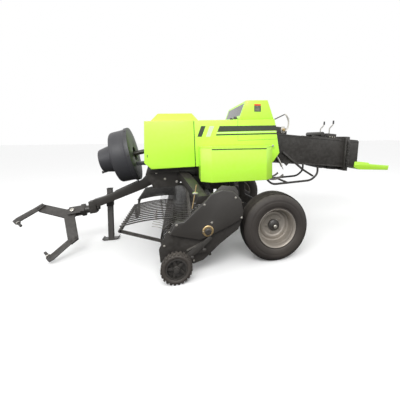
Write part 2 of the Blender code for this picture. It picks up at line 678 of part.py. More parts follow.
def frustum(low_x, low_y, low_z, high_x, high_y, high_z):
    bm = bmesh.new()
    rings = []
    for xs, y, z in ((low_x, low_y, low_z), (high_x, high_y, high_z)):
        corners = ((xs[0], -y, z), (xs[1], -y, z), (xs[1], y, z), (xs[0], y, z))
        rings.append([bm.verts.new(p) for p in corners])
    bm.faces.new(rings[0])
    bm.faces.new(rings[1])
    for k in range(4):
        j = (k + 1) % 4
        bm.faces.new((rings[0][k], rings[1][k], rings[1][j], rings[0][j]))
    return closed_mesh(bm)


HOOD_HINGE = (0.300, 1.5926)


def top_covers():
    seat = COVER_TOP + SEAT_GAP
    outer = frustum((0.79, 1.33), 0.545, seat, (0.86, 1.25), 0.49, 1.675)
    inner = frustum((0.80, 1.32), 0.535, seat - 0.02, (0.87, 1.24), 0.48, 1.667)
    node("top_cover", green(), raked([outer]), raked([inner]))
    skin = [(0.30, 1.5926), (0.21, 1.83), (-0.07, 1.84), (-0.15, 1.6034)]
    room = [(0.29, 1.55), (0.285, 1.61), (0.202, 1.818), (-0.063, 1.828), (-0.139, 1.61), (-0.139, 1.55)]
    half = COVER_HALF_WIDTH - 0.002
    window = prism([(0.12, 1.65), (0.5, 1.65), (0.5, 1.80), (0.12, 1.80)], "Y", -half + 0.06, half - 0.06)
    node("knotter_hood", green(), [prism(skin, "Y", -half, half)],
         [prism(room, "Y", -half + 0.012, half - 0.012), window], pivot=(HOOD_HINGE[0], 0, HOOD_HINGE[1]))


def twine_boxes():
    inside = COVER_HALF_WIDTH + SEAT_GAP
    plan = [(0.80, inside), (0.80, 0.85), (0.69, TWINE_BOX_FACE), (0.08, TWINE_BOX_FACE),
            (-0.03, 0.84), (-0.03, inside)]
    t = TWINE_BOX_SHEET
    room = [(0.80 - t, inside + t), (0.80 - t, 0.846),
            (0.686, TWINE_BOX_FACE - t), (0.083, TWINE_BOX_FACE - t),
            (-0.03 + t, 0.836), (-0.03 + t, inside + t)]
    lid_back = inside + 0.006
    lid = [(0.80, lid_back), (0.80, 0.85), (0.69, TWINE_BOX_FACE), (0.08, TWINE_BOX_FACE),
           (-0.03, 0.84), (-0.03, lid_back)]
    low, high = TWINE_BOX_BOTTOM, TWINE_BOX_TOP
    for side, suffix in ((1, "left"), (-1, "right")):
        node(f"twine_box_{suffix}", green(), flipped([prism(plan, "Z", low, high)], side),
             flipped([prism(room, "Z", low + t, high + 0.1)], side))
        under = high + SEAT_GAP
        node(f"twine_lid_{suffix}", green(), flipped([prism(lid, "Z", under, under + LID_SHEET)], side),
             pivot=(0.385, side * lid_back, under + LID_SHEET))


# ---- pickup --------------------------------------------------------------------------------
SHEET_OUTLINE = [(0.61, 0.89), (0.47, 0.87), (0.44, 0.82), (0.43, 0.69), (0.395, 0.62), (0.40, 0.54),
                 (0.44, 0.43), (0.64, 0.29), (0.80, 0.15), (0.90, 0.12), (1.22, 0.17), (1.23, 0.30),
                 (1.16, 0.45), (1.07, 0.56), (0.99, 0.56), (0.79, 0.74)]
COVER_OUTLINE = [(0.99, 0.56), (0.79, 0.74), (0.72, 0.82), (0.61, 0.855),
                 (0.50, 0.83), (0.415, 0.74), (0.395, 0.62),
                 (0.40, 0.54), (0.55, 0.47), (0.72, 0.40), (0.84, 0.36), (1.13, 0.44), (1.07, 0.56)]


def pin_hole(x, z, radius, reach=1.4, steps=16):
    return turned([(0, -reach), (radius, -reach), (radius, reach), (0, reach)], (x, 0, z), steps)


def pickup_sides():
    face, sheet = PICKUP_HALF_WIDTH, SIDE_SHEET
    holes = [pin_hole(*PICKUP_PIVOT, PIVOT_RADIUS + SEAT_GAP)]
    for side, suffix in ((1, "left"), (-1, "right")):
        plate = flipped([prism(SHEET_OUTLINE, "Y", face - sheet, face)], side)
        node(f"side_sheet_{suffix}", black(), plate, holes)
    boss = [(0, COVER_FACE - 0.005), (0.035, COVER_FACE - 0.005), (0.030, COVER_FACE + 0.03),
            (0, COVER_FACE + 0.03)]
    node("drive_cover", black(), [prism(COVER_OUTLINE, "Y", face + SEAT_GAP, COVER_FACE),
                                  turned(boss, (0.76, 0, 0.45), 14)])
    for side, suffix in ((1, "left"), (-1, "right")):
        arm = [(0.72, 0.375), (0.76, 0.335), (1.03, 0.115), (1.09, 0.12), (1.10, 0.17), (1.06, 0.19),
               (0.80, 0.36), (0.745, 0.40)]
        low = COVER_FACE + SEAT_GAP
        end = GAUGE_Y + GAUGE_HALF_WIDTH
        pieces = [
            prism(arm, "Y", low, GAUGE_ARM_FACE),
            block((0.80, 0.90), (face + SEAT_GAP, low + 0.002), (0.235, 0.29)),
            turned([(0, low + 0.002), (0.012, low + 0.002), (0.012, end + 0.006), (0.024, end + 0.006),
                    (0.024, end + 0.014), (0, end + 0.014)], (GAUGE_X, 0, GAUGE_RADIUS), 12),
        ]
        node(f"gauge_arm_{suffix}", black(), flipped(pieces, side))
        w, r = GAUGE_HALF_WIDTH, GAUGE_RADIUS
        profile = [(0.0126, -w + 0.005), (0.04, -w + 0.005), (0.05, -0.01), (0.095, -0.01), (0.10, -w + 0.01),
                   (r - 0.012, -w), (r, -w + 0.014), (r, w - 0.014), (r - 0.012, w), (0.10, w - 0.01),
                   (0.095, 0.01), (0.05, 0.01), (0.04, w), (0.0126, w)]
        middle = (GAUGE_X, side * GAUGE_Y, GAUGE_RADIUS)
        turned_wheel = turned([(a, side * b) for a, b in profile], middle, 16)
        node(f"gauge_wheel_{suffix}", rubber(), [turned_wheel], pivot=middle)


def pickup_bands():
    inside = PICKUP_HALF_WIDTH - SIDE_SHEET - SEAT_GAP
    r, t = BAND_RADIUS, 0.006
    outer = [(0.745, 0.505)] + arc(REEL, r, 96, -90, 6) + [(0.745, 0.185)]
    inner = [(0.745, 0.191)] + arc(REEL, r - t, -90, 96, 6) + [(0.745, 0.499)]
    shapes = [
        block((0.733, 0.755), (-inside, inside), (0.480, 0.508)),
        block((0.725, 0.750), (-inside, inside), (0.178, 0.200)),
    ]
    for k in range(BANDS):
        y = (k - (BANDS - 1) / 2) * BAND_PITCH
        shapes.append(prism(outer + inner, "Y", y - 0.021, y + 0.021))
    node("pickup_bands", black(), shapes)


def auger_trough():
    inside = PICKUP_HALF_WIDTH - SIDE_SHEET - SEAT_GAP
    r = AUGER_RADIUS + 0.016
    outline = arc(AUGER, r + 0.005, -150, -20, 7) + arc(AUGER, r, -20, -150, 7)
    lip = block((0.724, 0.733 - SEAT_GAP), (-inside, inside), (0.43, 0.50))
    shapes = [prism(outline, "Y", -inside, inside), lip]
    node("auger_trough", black(), shapes)


def pickup_reel():
    inside = PICKUP_HALF_WIDTH - SIDE_SHEET - SEAT_GAP
    x, z = REEL
    span = (BANDS - 1) / 2 * BAND_PITCH + 0.045
    shapes = [turned([(0, -inside), (0.028, -inside), (0.028, inside), (0, inside)], (x, 0, z), 12)]
    for y in (-span, 0.5 * BAND_PITCH, span):
        low, high = y - 0.005, y + 0.005
        rim = TINE_BAR_RADIUS + 0.02
        shapes.append(turned([(0, low), (rim, low), (rim, high), (0, high)], (x, 0, z), 20))
    for k in range(TINE_BARS):
        angle = 2 * math.pi * (k + 0.35) / TINE_BARS
        c, s = math.cos(angle), math.sin(angle)
        bar = (x + TINE_BAR_RADIUS * c, z + TINE_BAR_RADIUS * s)
        shapes.append(turned([(0, -span), (0.010, -span), (0.010, span), (0, span)], (bar[0], 0, bar[1]), 8))
        tip = (x + REEL_RADIUS * c + 0.03 * s, z + REEL_RADIUS * s - 0.03 * c)
        for n in range(BANDS // 2 + 1):
            y = (2 * n - (BANDS - 1) / 2 + 0.5) * BAND_PITCH
            if y < span:
                shapes.append(swept([(bar[0], y, bar[1]), (tip[0], y, tip[1])], 0.0035, 0.0035, up=(0, 1, 0)))
    node("pickup_reel", steel(), shapes, pivot=(x, 0, z))


def cross_auger():
    """One shaft, with the turns of its two flights standing as plain discs."""
    inside = PICKUP_HALF_WIDTH - SIDE_SHEET - SEAT_GAP
    x, z = AUGER
    turns = []
    for k in range(FLIGHT_TURNS):
        y = inside - 0.03 - k * FLIGHT_PITCH
        turns += [(0.032, y), (AUGER_RADIUS, y), (AUGER_RADIUS, y - 0.006), (0.032, y - 0.006)]
    profile = [(0, inside), (0.032, inside)] + turns
    profile += [(radius, -y) for radius, y in reversed(profile)]
    node("cross_auger", black(), [turned(profile, (x, 0, z), 16)], pivot=(x, 0, z))


def wind_guard():
    x, z = WIND_BAR
    px, pz = WIND_PIVOT
    y = PICKUP_HALF_WIDTH - SIDE_SHEET - 0.03
    dip = 0.17
    tube = [(x, -y, z), (x, -0.135, z), (x, -0.095, z - dip), (x, 0.095, z - dip), (x, 0.135, z), (x, y, z)]
    shapes = [swept(tube, 0.017, sides=8)]
    for side in (-1, 1):
        seat = PICKUP_HALF_WIDTH - SIDE_SHEET - SEAT_GAP
        shapes += flipped(
            [
                swept([(x, y - 0.006, z), (px, y - 0.006, pz)], 0.006, 0.015),
                turned([(0, y - 0.010), (0.016, y - 0.010), (0.016, seat), (0, seat)], (px, 0, pz), 12),
            ],
            side,
        )
        for n in range(1, WIND_FINGER_PAIRS + 1):
            at = side * 2 * n * BAND_PITCH
            finger = [(x + 0.02, at, z + 0.012), (1.30, at, 0.555), (1.10, at, 0.560)]
            shapes.append(swept(finger, 0.006, 0.006, up=(0, 1, 0)))
    node("wind_guard", black(), shapes, pivot=(px, 0, pz))


# ---- start ---------------------------------------------------------------------------------
def main():
    for leftover in list(bpy.data.objects):
        bpy.data.objects.remove(leftover)
    machine = bpy.data.objects.new("machine", None)
    machine.location = (AXLE_FROM_ORIGIN, 0, 0)
    bpy.context.scene.collection.objects.link(machine)
    for side, suffix in ((1, "left"), (-1, "right")):
        wheel(side, suffix)
    axle_beam()
    chassis_frame()
    tongue()
    hitch()
    jack()
    drive_line()
    bale_chamber()
    plunger()
    feed_duct()
    needle_frame()
    tension_gear()
    knotter_gear()
    rear_bracket()
    bale_chute()
    covers()
    top_covers()
    twine_boxes()
    pickup_sides()
    pickup_bands()
    auger_trough()
    pickup_reel()
    cross_auger()
    wind_guard()


main()
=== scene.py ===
"""Looks of a drawn square baler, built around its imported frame.

P(x, y, z) turns a place measured from the axle line at ground level into the frame's own
coordinates: X forward, Y to the machine's left, Z up, in metres.
"""

import bmesh
import bpy
import json
import math
from mathutils import Matrix, Vector


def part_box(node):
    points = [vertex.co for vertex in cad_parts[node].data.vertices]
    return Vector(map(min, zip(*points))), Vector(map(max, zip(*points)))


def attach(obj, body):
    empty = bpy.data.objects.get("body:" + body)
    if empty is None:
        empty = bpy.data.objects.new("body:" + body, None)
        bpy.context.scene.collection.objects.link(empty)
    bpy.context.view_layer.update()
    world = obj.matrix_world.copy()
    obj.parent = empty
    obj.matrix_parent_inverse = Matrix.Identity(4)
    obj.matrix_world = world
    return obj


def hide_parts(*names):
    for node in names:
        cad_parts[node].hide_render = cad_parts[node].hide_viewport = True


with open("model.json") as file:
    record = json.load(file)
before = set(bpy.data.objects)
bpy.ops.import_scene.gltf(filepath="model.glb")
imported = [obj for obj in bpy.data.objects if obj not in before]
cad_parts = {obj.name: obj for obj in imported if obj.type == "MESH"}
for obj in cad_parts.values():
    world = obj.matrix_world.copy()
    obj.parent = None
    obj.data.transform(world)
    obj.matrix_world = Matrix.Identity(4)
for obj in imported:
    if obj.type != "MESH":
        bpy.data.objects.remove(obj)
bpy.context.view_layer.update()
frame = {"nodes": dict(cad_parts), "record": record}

# ---- places taken from the frame -----------------------------------------------------------
TYRE_LOW, TYRE_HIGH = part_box("tyre_left")
AXLE_X = (TYRE_LOW[0] + TYRE_HIGH[0]) / 2
WHEEL_R = TYRE_HIGH[2] / 2
TRACK_HALF = (TYRE_LOW[1] + TYRE_HIGH[1]) / 2
TYRE_HALF = (TYRE_HIGH[1] - TYRE_LOW[1]) / 2
SHEET_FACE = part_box("side_sheet_left")[1][1]
SHEET_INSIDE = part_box("side_sheet_left")[0][1]
COVER_FACE = SHEET_FACE + 0.035
PANEL_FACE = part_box("main_panel_left")[1][1]
BOX_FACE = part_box("twine_box_left")[1][1]
GAUGE_LOW, GAUGE_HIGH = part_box("gauge_wheel_left")
JOINTS = {joint["name"]: joint for joint in frame["record"]["behaviour"]["joints"]}

BAND_PITCH = 0.074
BANDS = 27
CHAMBER_TILT = math.radians(5.3)
CHAMBER_POINT = (-0.60, 1.19)
CHAMBER_SIDE = 0.25
DECK_TOP = 0.2075
DRIVE_TILT = math.radians(12.5)
HITCH_TURNS = (math.radians(6.9), math.radians(-40.0), math.radians(39.8))


def P(x, y, z):
    """A place measured from the axle line, in the frame."""
    return Vector((x + AXLE_X, y, z))


def move_to(x, y, z):
    """A move to the place P gives."""
    return Matrix.Translation(P(x, y, z))


def mirrored(side):
    """The right hand side, -1, as the left's mirror image."""
    return Matrix.Diagonal((1, side, 1, 1))


FROM_AXLE = Matrix.Translation((AXLE_X, 0, 0))
UPRIGHT = Matrix.Rotation(math.pi / 2, 4, "X")


def joint_place(name):
    """Where a joint stands."""
    return Vector(JOINTS[name]["pos_m"])


def along_chamber():
    """From axes along and across the bale chamber to the frame."""
    x, z = CHAMBER_POINT
    return move_to(x, 0, z) @ Matrix.Rotation(-CHAMBER_TILT, 4, "Y")


def on_drive():
    """From axes along and across the input shaft to the frame."""
    return Matrix.Translation(joint_place("flywheel_spin")) @ Matrix.Rotation(DRIVE_TILT, 4, "Y")


def on_yoke():
    """From the yoke's own axes to the frame."""
    pitch, roll, yaw = HITCH_TURNS
    turn = Matrix.Rotation(pitch, 4, "Y") @ Matrix.Rotation(roll, 4, "X") @ Matrix.Rotation(yaw, 4, "Z")
    return Matrix.Translation(joint_place("hitch_roll")) @ turn



# ---- shader groups -------------------------------------------------------------------------
def wire(tree, source, target):
    """A link between two sockets."""
    tree.links.new(source, target)



def put(node, **values):
    """The node, with these inputs set."""
    for key, value in values.items():
        node.inputs[key.replace("_", " ")].default_value = value
    return node


def surface_life():
    """Colour drift, dust on faces that look up, rubbed edges and fine orange-peel height."""
    tree = bpy.data.node_groups.new("surface_life", "ShaderNodeTree")
    face = tree.interface
    for name, kind, value in (
        ("Paint", "NodeSocketColor", (0.5, 0.5, 0.5, 1)),
        ("Rubbed", "NodeSocketColor", (0.5, 0.5, 0.5, 1)),
        ("Dust", "NodeSocketColor", (0.35, 0.32, 0.27, 1)),
        ("Roughness", "NodeSocketFloat", 0.4),
        ("Drift", "NodeSocketFloat", 0.1),
        ("Dustiness", "NodeSocketFloat", 0.1),
        ("Edge Wear", "NodeSocketFloat", 0.2),
        ("Grain Scale", "NodeSocketFloat", 180.0),
    ):
        socket = face.new_socket(name, in_out="INPUT", socket_type=kind)
        socket.default_value = value
    for name, kind in (("Colour", "NodeSocketColor"), ("Roughness", "NodeSocketFloat"),
                       ("Height", "NodeSocketFloat")):
        face.new_socket(name, in_out="OUTPUT", socket_type=kind)
    inside = tree.nodes.new("NodeGroupInput").outputs
    out = tree.nodes.new("NodeGroupOutput").inputs
    spot = tree.nodes.new("ShaderNodeTexCoord").outputs["Object"]
    geometry = tree.nodes.new("ShaderNodeNewGeometry").outputs

    def noise(scale, detail):
        made = put(tree.nodes.new("ShaderNodeTexNoise"), Detail=detail)
        wire(tree, spot, made.inputs["Vector"])
        if isinstance(scale, float):
            made.inputs["Scale"].default_value = scale
        else:
            wire(tree, scale, made.inputs["Scale"])
        return made.outputs["Fac"]

    def maths(operation, first, second):
        made = tree.nodes.new("ShaderNodeMath")
        made.operation = operation
        made.use_clamp = operation == "MULTIPLY"
        for socket, value in zip(made.inputs, (first, second)):
            if isinstance(value, float):
                socket.default_value = value
            else:
                wire(tree, value, socket)
        return made.outputs[0]

    def blend(fac, first, second, kind="MIX"):
        made = tree.nodes.new("ShaderNodeMix")
        made.data_type = "RGBA"
        made.blend_type = kind
        wire(tree, fac, made.inputs["Factor"])
        wire(tree, first, made.inputs["A"])
        wire(tree, second, made.inputs["B"])
        return made.outputs["Result"]

    def ramp(value, low, high):
        made = tree.nodes.new("ShaderNodeMapRange")
        made.inputs["From Min"].default_value = low
        made.inputs["From Max"].default_value = high
        wire(tree, value, made.inputs["Value"])
        return made.outputs["Result"]

    broad = noise(2.2, 3.0)
    spots = noise(26.0, 5.0)
    fine = noise(inside["Grain Scale"], 2.0)
    drifted = blend(maths("MULTIPLY", ramp(broad, 0.35, 0.7), inside["Drift"]), inside["Paint"],
                    inside["Rubbed"])
    edges = maths("MULTIPLY", ramp(geometry["Pointiness"], 0.52, 0.60), ramp(spots, 0.40, 0.62))
    edged = blend(maths("MULTIPLY", edges, inside["Edge Wear"]), drifted, inside["Rubbed"])
    split = tree.nodes.new("ShaderNodeSeparateXYZ")
    wire(tree, geometry["Normal"], split.inputs[0])
    lying = maths("MULTIPLY", ramp(split.outputs["Z"], 0.3, 1.0), ramp(spots, 0.30, 0.70))
    dust = maths("MULTIPLY", maths("ADD", lying, maths("MULTIPLY", ramp(broad, 0.45, 0.75), 0.35)),
                 inside["Dustiness"])
    wire(tree, blend(dust, edged, inside["Dust"]), out["Colour"])
    rough = maths("ADD", inside["Roughness"], maths("MULTIPLY", dust, 0.5))
    wire(tree, maths("ADD", rough, maths("MULTIPLY", ramp(fine, 0.3, 0.7), 0.06)), out["Roughness"])
    wire(tree, maths("ADD", fine, spots), out["Height"])
    return tree


LIFE = surface_life()


def material(name, paint, rubbed, roughness, metallic=0.0, coat=0.0, drift=0.1, dust=0.08, wear=0.2,
             grain=180.0, bump=0.1, bump_depth=0.0004):
    """A finish: enamel, plating or rubber over the shared surface life."""
    made = bpy.data.materials.new(name)
    made.use_nodes = True
    tree = made.node_tree
    shader = tree.nodes["Principled BSDF"]
    shader.inputs["Metallic"].default_value = metallic
    shader.inputs["Coat Weight"].default_value = coat
    shader.inputs["Coat Roughness"].default_value = 0.12
    life = tree.nodes.new("ShaderNodeGroup")
    life.node_tree = LIFE
    put(life, Paint=(*paint, 1), Rubbed=(*rubbed, 1), Roughness=roughness, Drift=drift, Dustiness=dust,
        Edge_Wear=wear, Grain_Scale=grain)
    lumps = tree.nodes.new("ShaderNodeBump")
    lumps.inputs["Strength"].default_value = bump
    lumps.inputs["Distance"].default_value = bump_depth
    wire(tree, life.outputs["Colour"], shader.inputs["Base Color"])
    wire(tree, life.outputs["Roughness"], shader.inputs["Roughness"])
    wire(tree, life.outputs["Height"], lumps.inputs["Height"])
    wire(tree, lumps.outputs["Normal"], shader.inputs["Normal"])
    return made


GREEN = material("green_enamel", (0.52, 0.94, 0.060), (0.62, 0.95, 0.16), 0.34, coat=0.25, drift=0.05,
                 dust=0.02,
                 wear=0.25, grain=90.0, bump=0.06)
BLACK = material("black_enamel", (0.030, 0.027, 0.024), (0.10, 0.095, 0.09), 0.40, coat=0.12, drift=0.12,
                 dust=0.05, wear=0.5, grain=120.0, bump=0.10)
PLASTIC = material("guard_plastic", (0.040, 0.040, 0.045), (0.07, 0.07, 0.075), 0.42, drift=0.2, dust=0.06,
                   wear=0.15, grain=320.0, bump=0.25)
RUBBER = material("tyre_rubber", (0.030, 0.025, 0.022), (0.055, 0.045, 0.038), 0.62, drift=0.5, dust=0.16,
                  wear=0.1, grain=140.0, bump=0.35, bump_depth=0.0008)
SILVER = material("rim_silver", (0.40, 0.37, 0.33), (0.24, 0.20, 0.16), 0.38, metallic=0.55, drift=0.45,
                  dust=0.10, wear=0.3, grain=200.0)
ZINC = material("zinc_plate", (0.62, 0.60, 0.55), (0.40, 0.37, 0.30), 0.32, metallic=0.85, drift=0.4,
                dust=0.05)
GOLD = material("yellow_zinc", (0.62, 0.44, 0.20), (0.45, 0.36, 0.25), 0.34, metallic=0.8, drift=0.5,
                dust=0.05)
STEEL = material("worn_steel", (0.25, 0.235, 0.21), (0.50, 0.48, 0.44), 0.36, metallic=0.8, drift=0.5,
                 dust=0.1)
# Near-black for the printed stripes, label and seam lines, and also painted shade: the latch slot, the
# jack's pin holes and the strip under each twine lid.
DARK_PRINT_AND_SHADE = material("stripe_dark_and_painted_shade", (0.036, 0.042, 0.030), (0.06, 0.07, 0.05), 0.35, drift=0.1, dust=0.02)
TAPE_GREY = material("stripe_grey", (0.62, 0.62, 0.50), (0.5, 0.5, 0.42), 0.38, drift=0.1, dust=0.02)
# Near-black pane: painted shade of the hood's inside seen through its window.
WINDOW_SHADE = material("window_painted_shade", (0.012, 0.012, 0.012), (0.03, 0.03, 0.03), 0.12, drift=0.1, dust=0.03)
LABEL_RED = material("label_red", (0.80, 0.09, 0.02), (0.7, 0.2, 0.1), 0.35, drift=0.1, dust=0.02)


# ---- making meshes -------------------------------------------------------------------------
def finished(mesh, name, body, surface, place=None, crease=35.0):
    """A mesh made into a shown piece that rides on a body."""
    if place is not None:
        mesh.transform(place)
    mesh.materials.clear()
    mesh.materials.append(surface)
    mesh.shade_smooth()
    mesh.set_sharp_from_angle(angle=math.radians(crease))
    piece = bpy.data.objects.new(name, mesh)
    bpy.context.scene.collection.objects.link(piece)
    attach(piece, body)
    return piece


def mesh_from(bm, name="shape"):
    """A mesh from this bmesh, merged, with its faces pointing out."""
    bmesh.ops.remove_doubles(bm, verts=bm.verts, dist=1e-6)
    bmesh.ops.recalc_face_normals(bm, faces=bm.faces)
    mesh = bpy.data.meshes.new(name)
    bm.to_mesh(mesh)
    bm.free()
    return mesh


def lathe(profile, steps=64, axis="Y"):
    """A turned shape about the axis. The profile is a closed loop of (radius, place along)."""
    bm = bmesh.new()
    rings = []
    for radius, along in profile:
        ring = []
        for k in range(steps if radius > 1e-6 else 1):
            a = 2 * math.pi * k / steps
            c, s = radius * math.cos(a), radius * math.sin(a)
            ring.append(bm.verts.new((c, along, s) if axis == "Y" else (along, c, s)))
        rings.append(ring)
    closed = profile[0][0] > 1e-6
    for one, two in zip(rings, rings[1:] + (rings[:1] if closed else [])):
        for k in range(steps):
            j = (k + 1) % steps
            corners = [one[k % len(one)], two[k % len(two)], two[j % len(two)], one[j % len(one)]]
            if len(one) == 1 or len(two) == 1:
                corners = list(dict.fromkeys(corners))
            if len(corners) > 2:
                bm.faces.new(corners)
    return mesh_from(bm)


def rounded_profile(points, radius=0.004, steps=3):
    """The closed profile with each corner given a small arc."""
    soft = []
    count = len(points)
    for i, corner in enumerate(points):
        corner = Vector(corner)
        before, after = Vector(points[i - 1]) - corner, Vector(points[(i + 1) % count]) - corner
        reach = min(radius, before.length * 0.45, after.length * 0.45)
        a, b = corner + before.normalized() * reach, corner + after.normalized() * reach
        for k in range(steps + 1):
            t = k / steps
            soft.append(tuple((1 - t) ** 2 * a + 2 * t * (1 - t) * corner + t ** 2 * b))
    return soft


def tube(points, radius, sides=12, flat=None, closed_path=False):
    """A round bar along the points, or a rectangle where flat = (half across, half over)."""
    points = [Vector(p) for p in points]
    bm = bmesh.new()
    rings = []
    over = None
    for i, point in enumerate(points):
        before = (point - points[i - 1]).normalized() if i else None
        after = (points[i + 1] - point).normalized() if i + 1 < len(points) else None
        heading = ((before or after) + (after or before)).normalized()
        if over is None:
            seed = Vector((0, 0, 1)) if abs(heading.z) < 0.9 else Vector((0, 1, 0))
            over = (seed - heading * seed.dot(heading)).normalized()
        else:
            over = (over - heading * over.dot(heading)).normalized()
        across = over.cross(heading)
        if flat:
            spots = [(flat[0], -flat[1]), (flat[0], flat[1]), (-flat[0], flat[1]), (-flat[0], -flat[1])]
        else:
            turn = [2 * math.pi * (k + 0.5) / sides for k in range(sides)]
            spots = [(radius * math.cos(a), radius * math.sin(a)) for a in turn]
        rings.append([bm.verts.new(point + across * a + over * b) for a, b in spots])
    bm.faces.new(rings[0])
    bm.faces.new(rings[-1])
    for one, two in zip(rings, rings[1:]):
        for k in range(len(one)):
            j = (k + 1) % len(one)
            bm.faces.new((one[k], two[k], two[j], one[j]))
    return mesh_from(bm)


def eased(points, radius, steps=6):
    """The path with each inner corner replaced by a bend."""
    points = [Vector(p) for p in points]
    path = [points[0]]
    for before, corner, after in zip(points, points[1:], points[2:]):
        reach = min(radius, (before - corner).length * 0.48, (after - corner).length * 0.48)
        a = corner + (before - corner).normalized() * reach
        b = corner + (after - corner).normalized() * reach
        path += [(1 - t) ** 2 * a + 2 * t * (1 - t) * corner + t ** 2 * b
                 for t in (k / steps for k in range(steps + 1))]
    return path + [points[-1]]


def slab(outline, axis, low, high, edge=0.0):
    """A flat piece with this outline across the axis, its edges rounded over."""
    order = {"X": lambda a, b, t: (t, a, b), "Y": lambda a, b, t: (a, t, b), "Z": lambda a, b,
             t: (a, b, t)}[axis]
    bm = bmesh.new()
    ends = [[bm.verts.new(order(a, b, t)) for a, b in outline] for t in (low, high)]
    bm.faces.new(ends[0])
    bm.faces.new(ends[1])
    for i in range(len(outline)):
        j = (i + 1) % len(outline)
        bm.faces.new((ends[0][i], ends[1][i], ends[1][j], ends[0][j]))
    if edge:
        bmesh.ops.recalc_face_normals(bm, faces=bm.faces)
        bmesh.ops.bevel(bm, geom=list(bm.edges), offset=edge, segments=2, profile=0.7, affect="EDGES",
                        clamp_overlap=True)
    return mesh_from(bm)


def brick(x, y, z, edge=0.0):
    """A box between these limits."""
    return slab([(x[0], z[0]), (x[1], z[0]), (x[1], z[1]), (x[0], z[1])], "Y", y[0], y[1], edge)


def joined(meshes):
    """Several meshes as one."""
    bm = bmesh.new()
    for mesh in meshes:
        bm.from_mesh(mesh)
    mesh = bpy.data.meshes.new("joined")
    bm.to_mesh(mesh)
    bm.free()
    return mesh


def placed(mesh, *steps):
    """A moved copy, turned right side out again where a step mirrors it."""
    copy = mesh.copy()
    for step in steps:
        copy.transform(step)
        if step.determinant() < 0:
            copy.flip_normals()
    return copy


def softened(node, body, surface, edge=0.003, segments=2):
    """A CAD node's own shape with its sharp edges rounded over."""
    bm = bmesh.new()
    bm.from_mesh(frame["nodes"][node].data)
    bmesh.ops.remove_doubles(bm, verts=bm.verts, dist=1e-5)
    bmesh.ops.dissolve_limit(bm, angle_limit=math.radians(1.5), verts=bm.verts, edges=bm.edges)
    mesh = bpy.data.meshes.new(node)
    bm.to_mesh(mesh)
    bm.free()
    holder = bpy.data.objects.new(node, mesh)
    bpy.context.scene.collection.objects.link(holder)
    bevel = holder.modifiers.new("edge", "BEVEL")
    bevel.width = edge
    bevel.segments = segments
    bevel.limit_method = "ANGLE"
    bevel.angle_limit = math.radians(30)
    bevel.use_clamp_overlap = True
    bevel.harden_normals = False
    shaped = bpy.data.meshes.new_from_object(holder.evaluated_get(bpy.context.evaluated_depsgraph_get()))
    bpy.data.objects.remove(holder)
    piece = finished(shaped, f"{node}_skin", body, surface, crease=40.0)
    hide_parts(node)
    return piece


# ---- repeated pieces -----------------------------------------------------------------------
def repeat_tree():
    """Copies of one piece, each a step and a turn on from the last."""
    tree = bpy.data.node_groups.new("repeat_piece", "GeometryNodeTree")
    for name, kind in (("Piece", "NodeSocketObject"), ("Count", "NodeSocketInt"),
                       ("Start", "NodeSocketVector"),
                       ("Step", "NodeSocketVector"), ("Turn", "NodeSocketVector"),
                       ("Material", "NodeSocketMaterial")):
        tree.interface.new_socket(name, in_out="INPUT", socket_type=kind)
    tree.interface.new_socket("Geometry", in_out="OUTPUT", socket_type="NodeSocketGeometry")
    inside = tree.nodes.new("NodeGroupInput").outputs
    out = tree.nodes.new("NodeGroupOutput").inputs
    line = tree.nodes.new("GeometryNodeMeshLine")
    info = tree.nodes.new("GeometryNodeObjectInfo")
    index = tree.nodes.new("GeometryNodeInputIndex")
    grow = tree.nodes.new("ShaderNodeVectorMath")
    grow.operation = "SCALE"
    turn = tree.nodes.new("FunctionNodeEulerToRotation")
    copies = tree.nodes.new("GeometryNodeInstanceOnPoints")
    real = tree.nodes.new("GeometryNodeRealizeInstances")
    coat = tree.nodes.new("GeometryNodeSetMaterial")
    wire(tree, inside["Count"], line.inputs["Count"])
    wire(tree, inside["Start"], line.inputs["Start Location"])
    wire(tree, inside["Step"], line.inputs["Offset"])
    wire(tree, inside["Piece"], info.inputs["Object"])
    wire(tree, inside["Turn"], grow.inputs[0])
    wire(tree, index.outputs[0], grow.inputs["Scale"])
    wire(tree, grow.outputs[0], turn.inputs[0])
    wire(tree, line.outputs[0], copies.inputs["Points"])
    wire(tree, info.outputs["Geometry"], copies.inputs["Instance"])
    wire(tree, turn.outputs[0], copies.inputs["Rotation"])
    wire(tree, copies.outputs[0], real.inputs[0])
    wire(tree, real.outputs[0], coat.inputs["Geometry"])
    wire(tree, inside["Material"], coat.inputs["Material"])
    wire(tree, coat.outputs[0], out[0])
    return tree


REPEAT = repeat_tree()


def repeated(mesh, count, surface, start=(0, 0, 0), step=(0, 0, 0), turn=(0, 0, 0)):
    """The mesh of count copies of a piece."""
    pattern = bpy.data.objects.new("pattern", mesh)
    holder = bpy.data.objects.new("holder", bpy.data.meshes.new("holder"))
    for made in (pattern, holder):
        bpy.context.scene.collection.objects.link(made)
    maker = holder.modifiers.new("repeat", "NODES")
    maker.node_group = REPEAT
    values = {"Piece": pattern, "Count": count, "Start": start, "Step": step, "Turn": turn,
              "Material": surface}
    for item in REPEAT.interface.items_tree:
        if item.in_out == "INPUT":
            maker[item.identifier] = values[item.name]
    result = bpy.data.meshes.new_from_object(holder.evaluated_get(bpy.context.evaluated_depsgraph_get()))
    bpy.data.objects.remove(holder)
    bpy.data.objects.remove(pattern)
    return result


def bolt(radius=0.008, height=0.006, washer=True):
    """A hexagon head on its washer, standing along +Y."""
    head = lathe([(0, height), (radius * 0.82, height), (radius, height * 0.8), (radius, 0), (0, 0)], 6)
    if not washer:
        return head
    ring = lathe(rounded_profile([(radius * 0.2, 0), (radius * 1.45, 0), (radius * 1.45, height * 0.3),
                                  (radius * 0.2, height * 0.3)], 0.0006, 1), 20)
    return joined([head, ring])


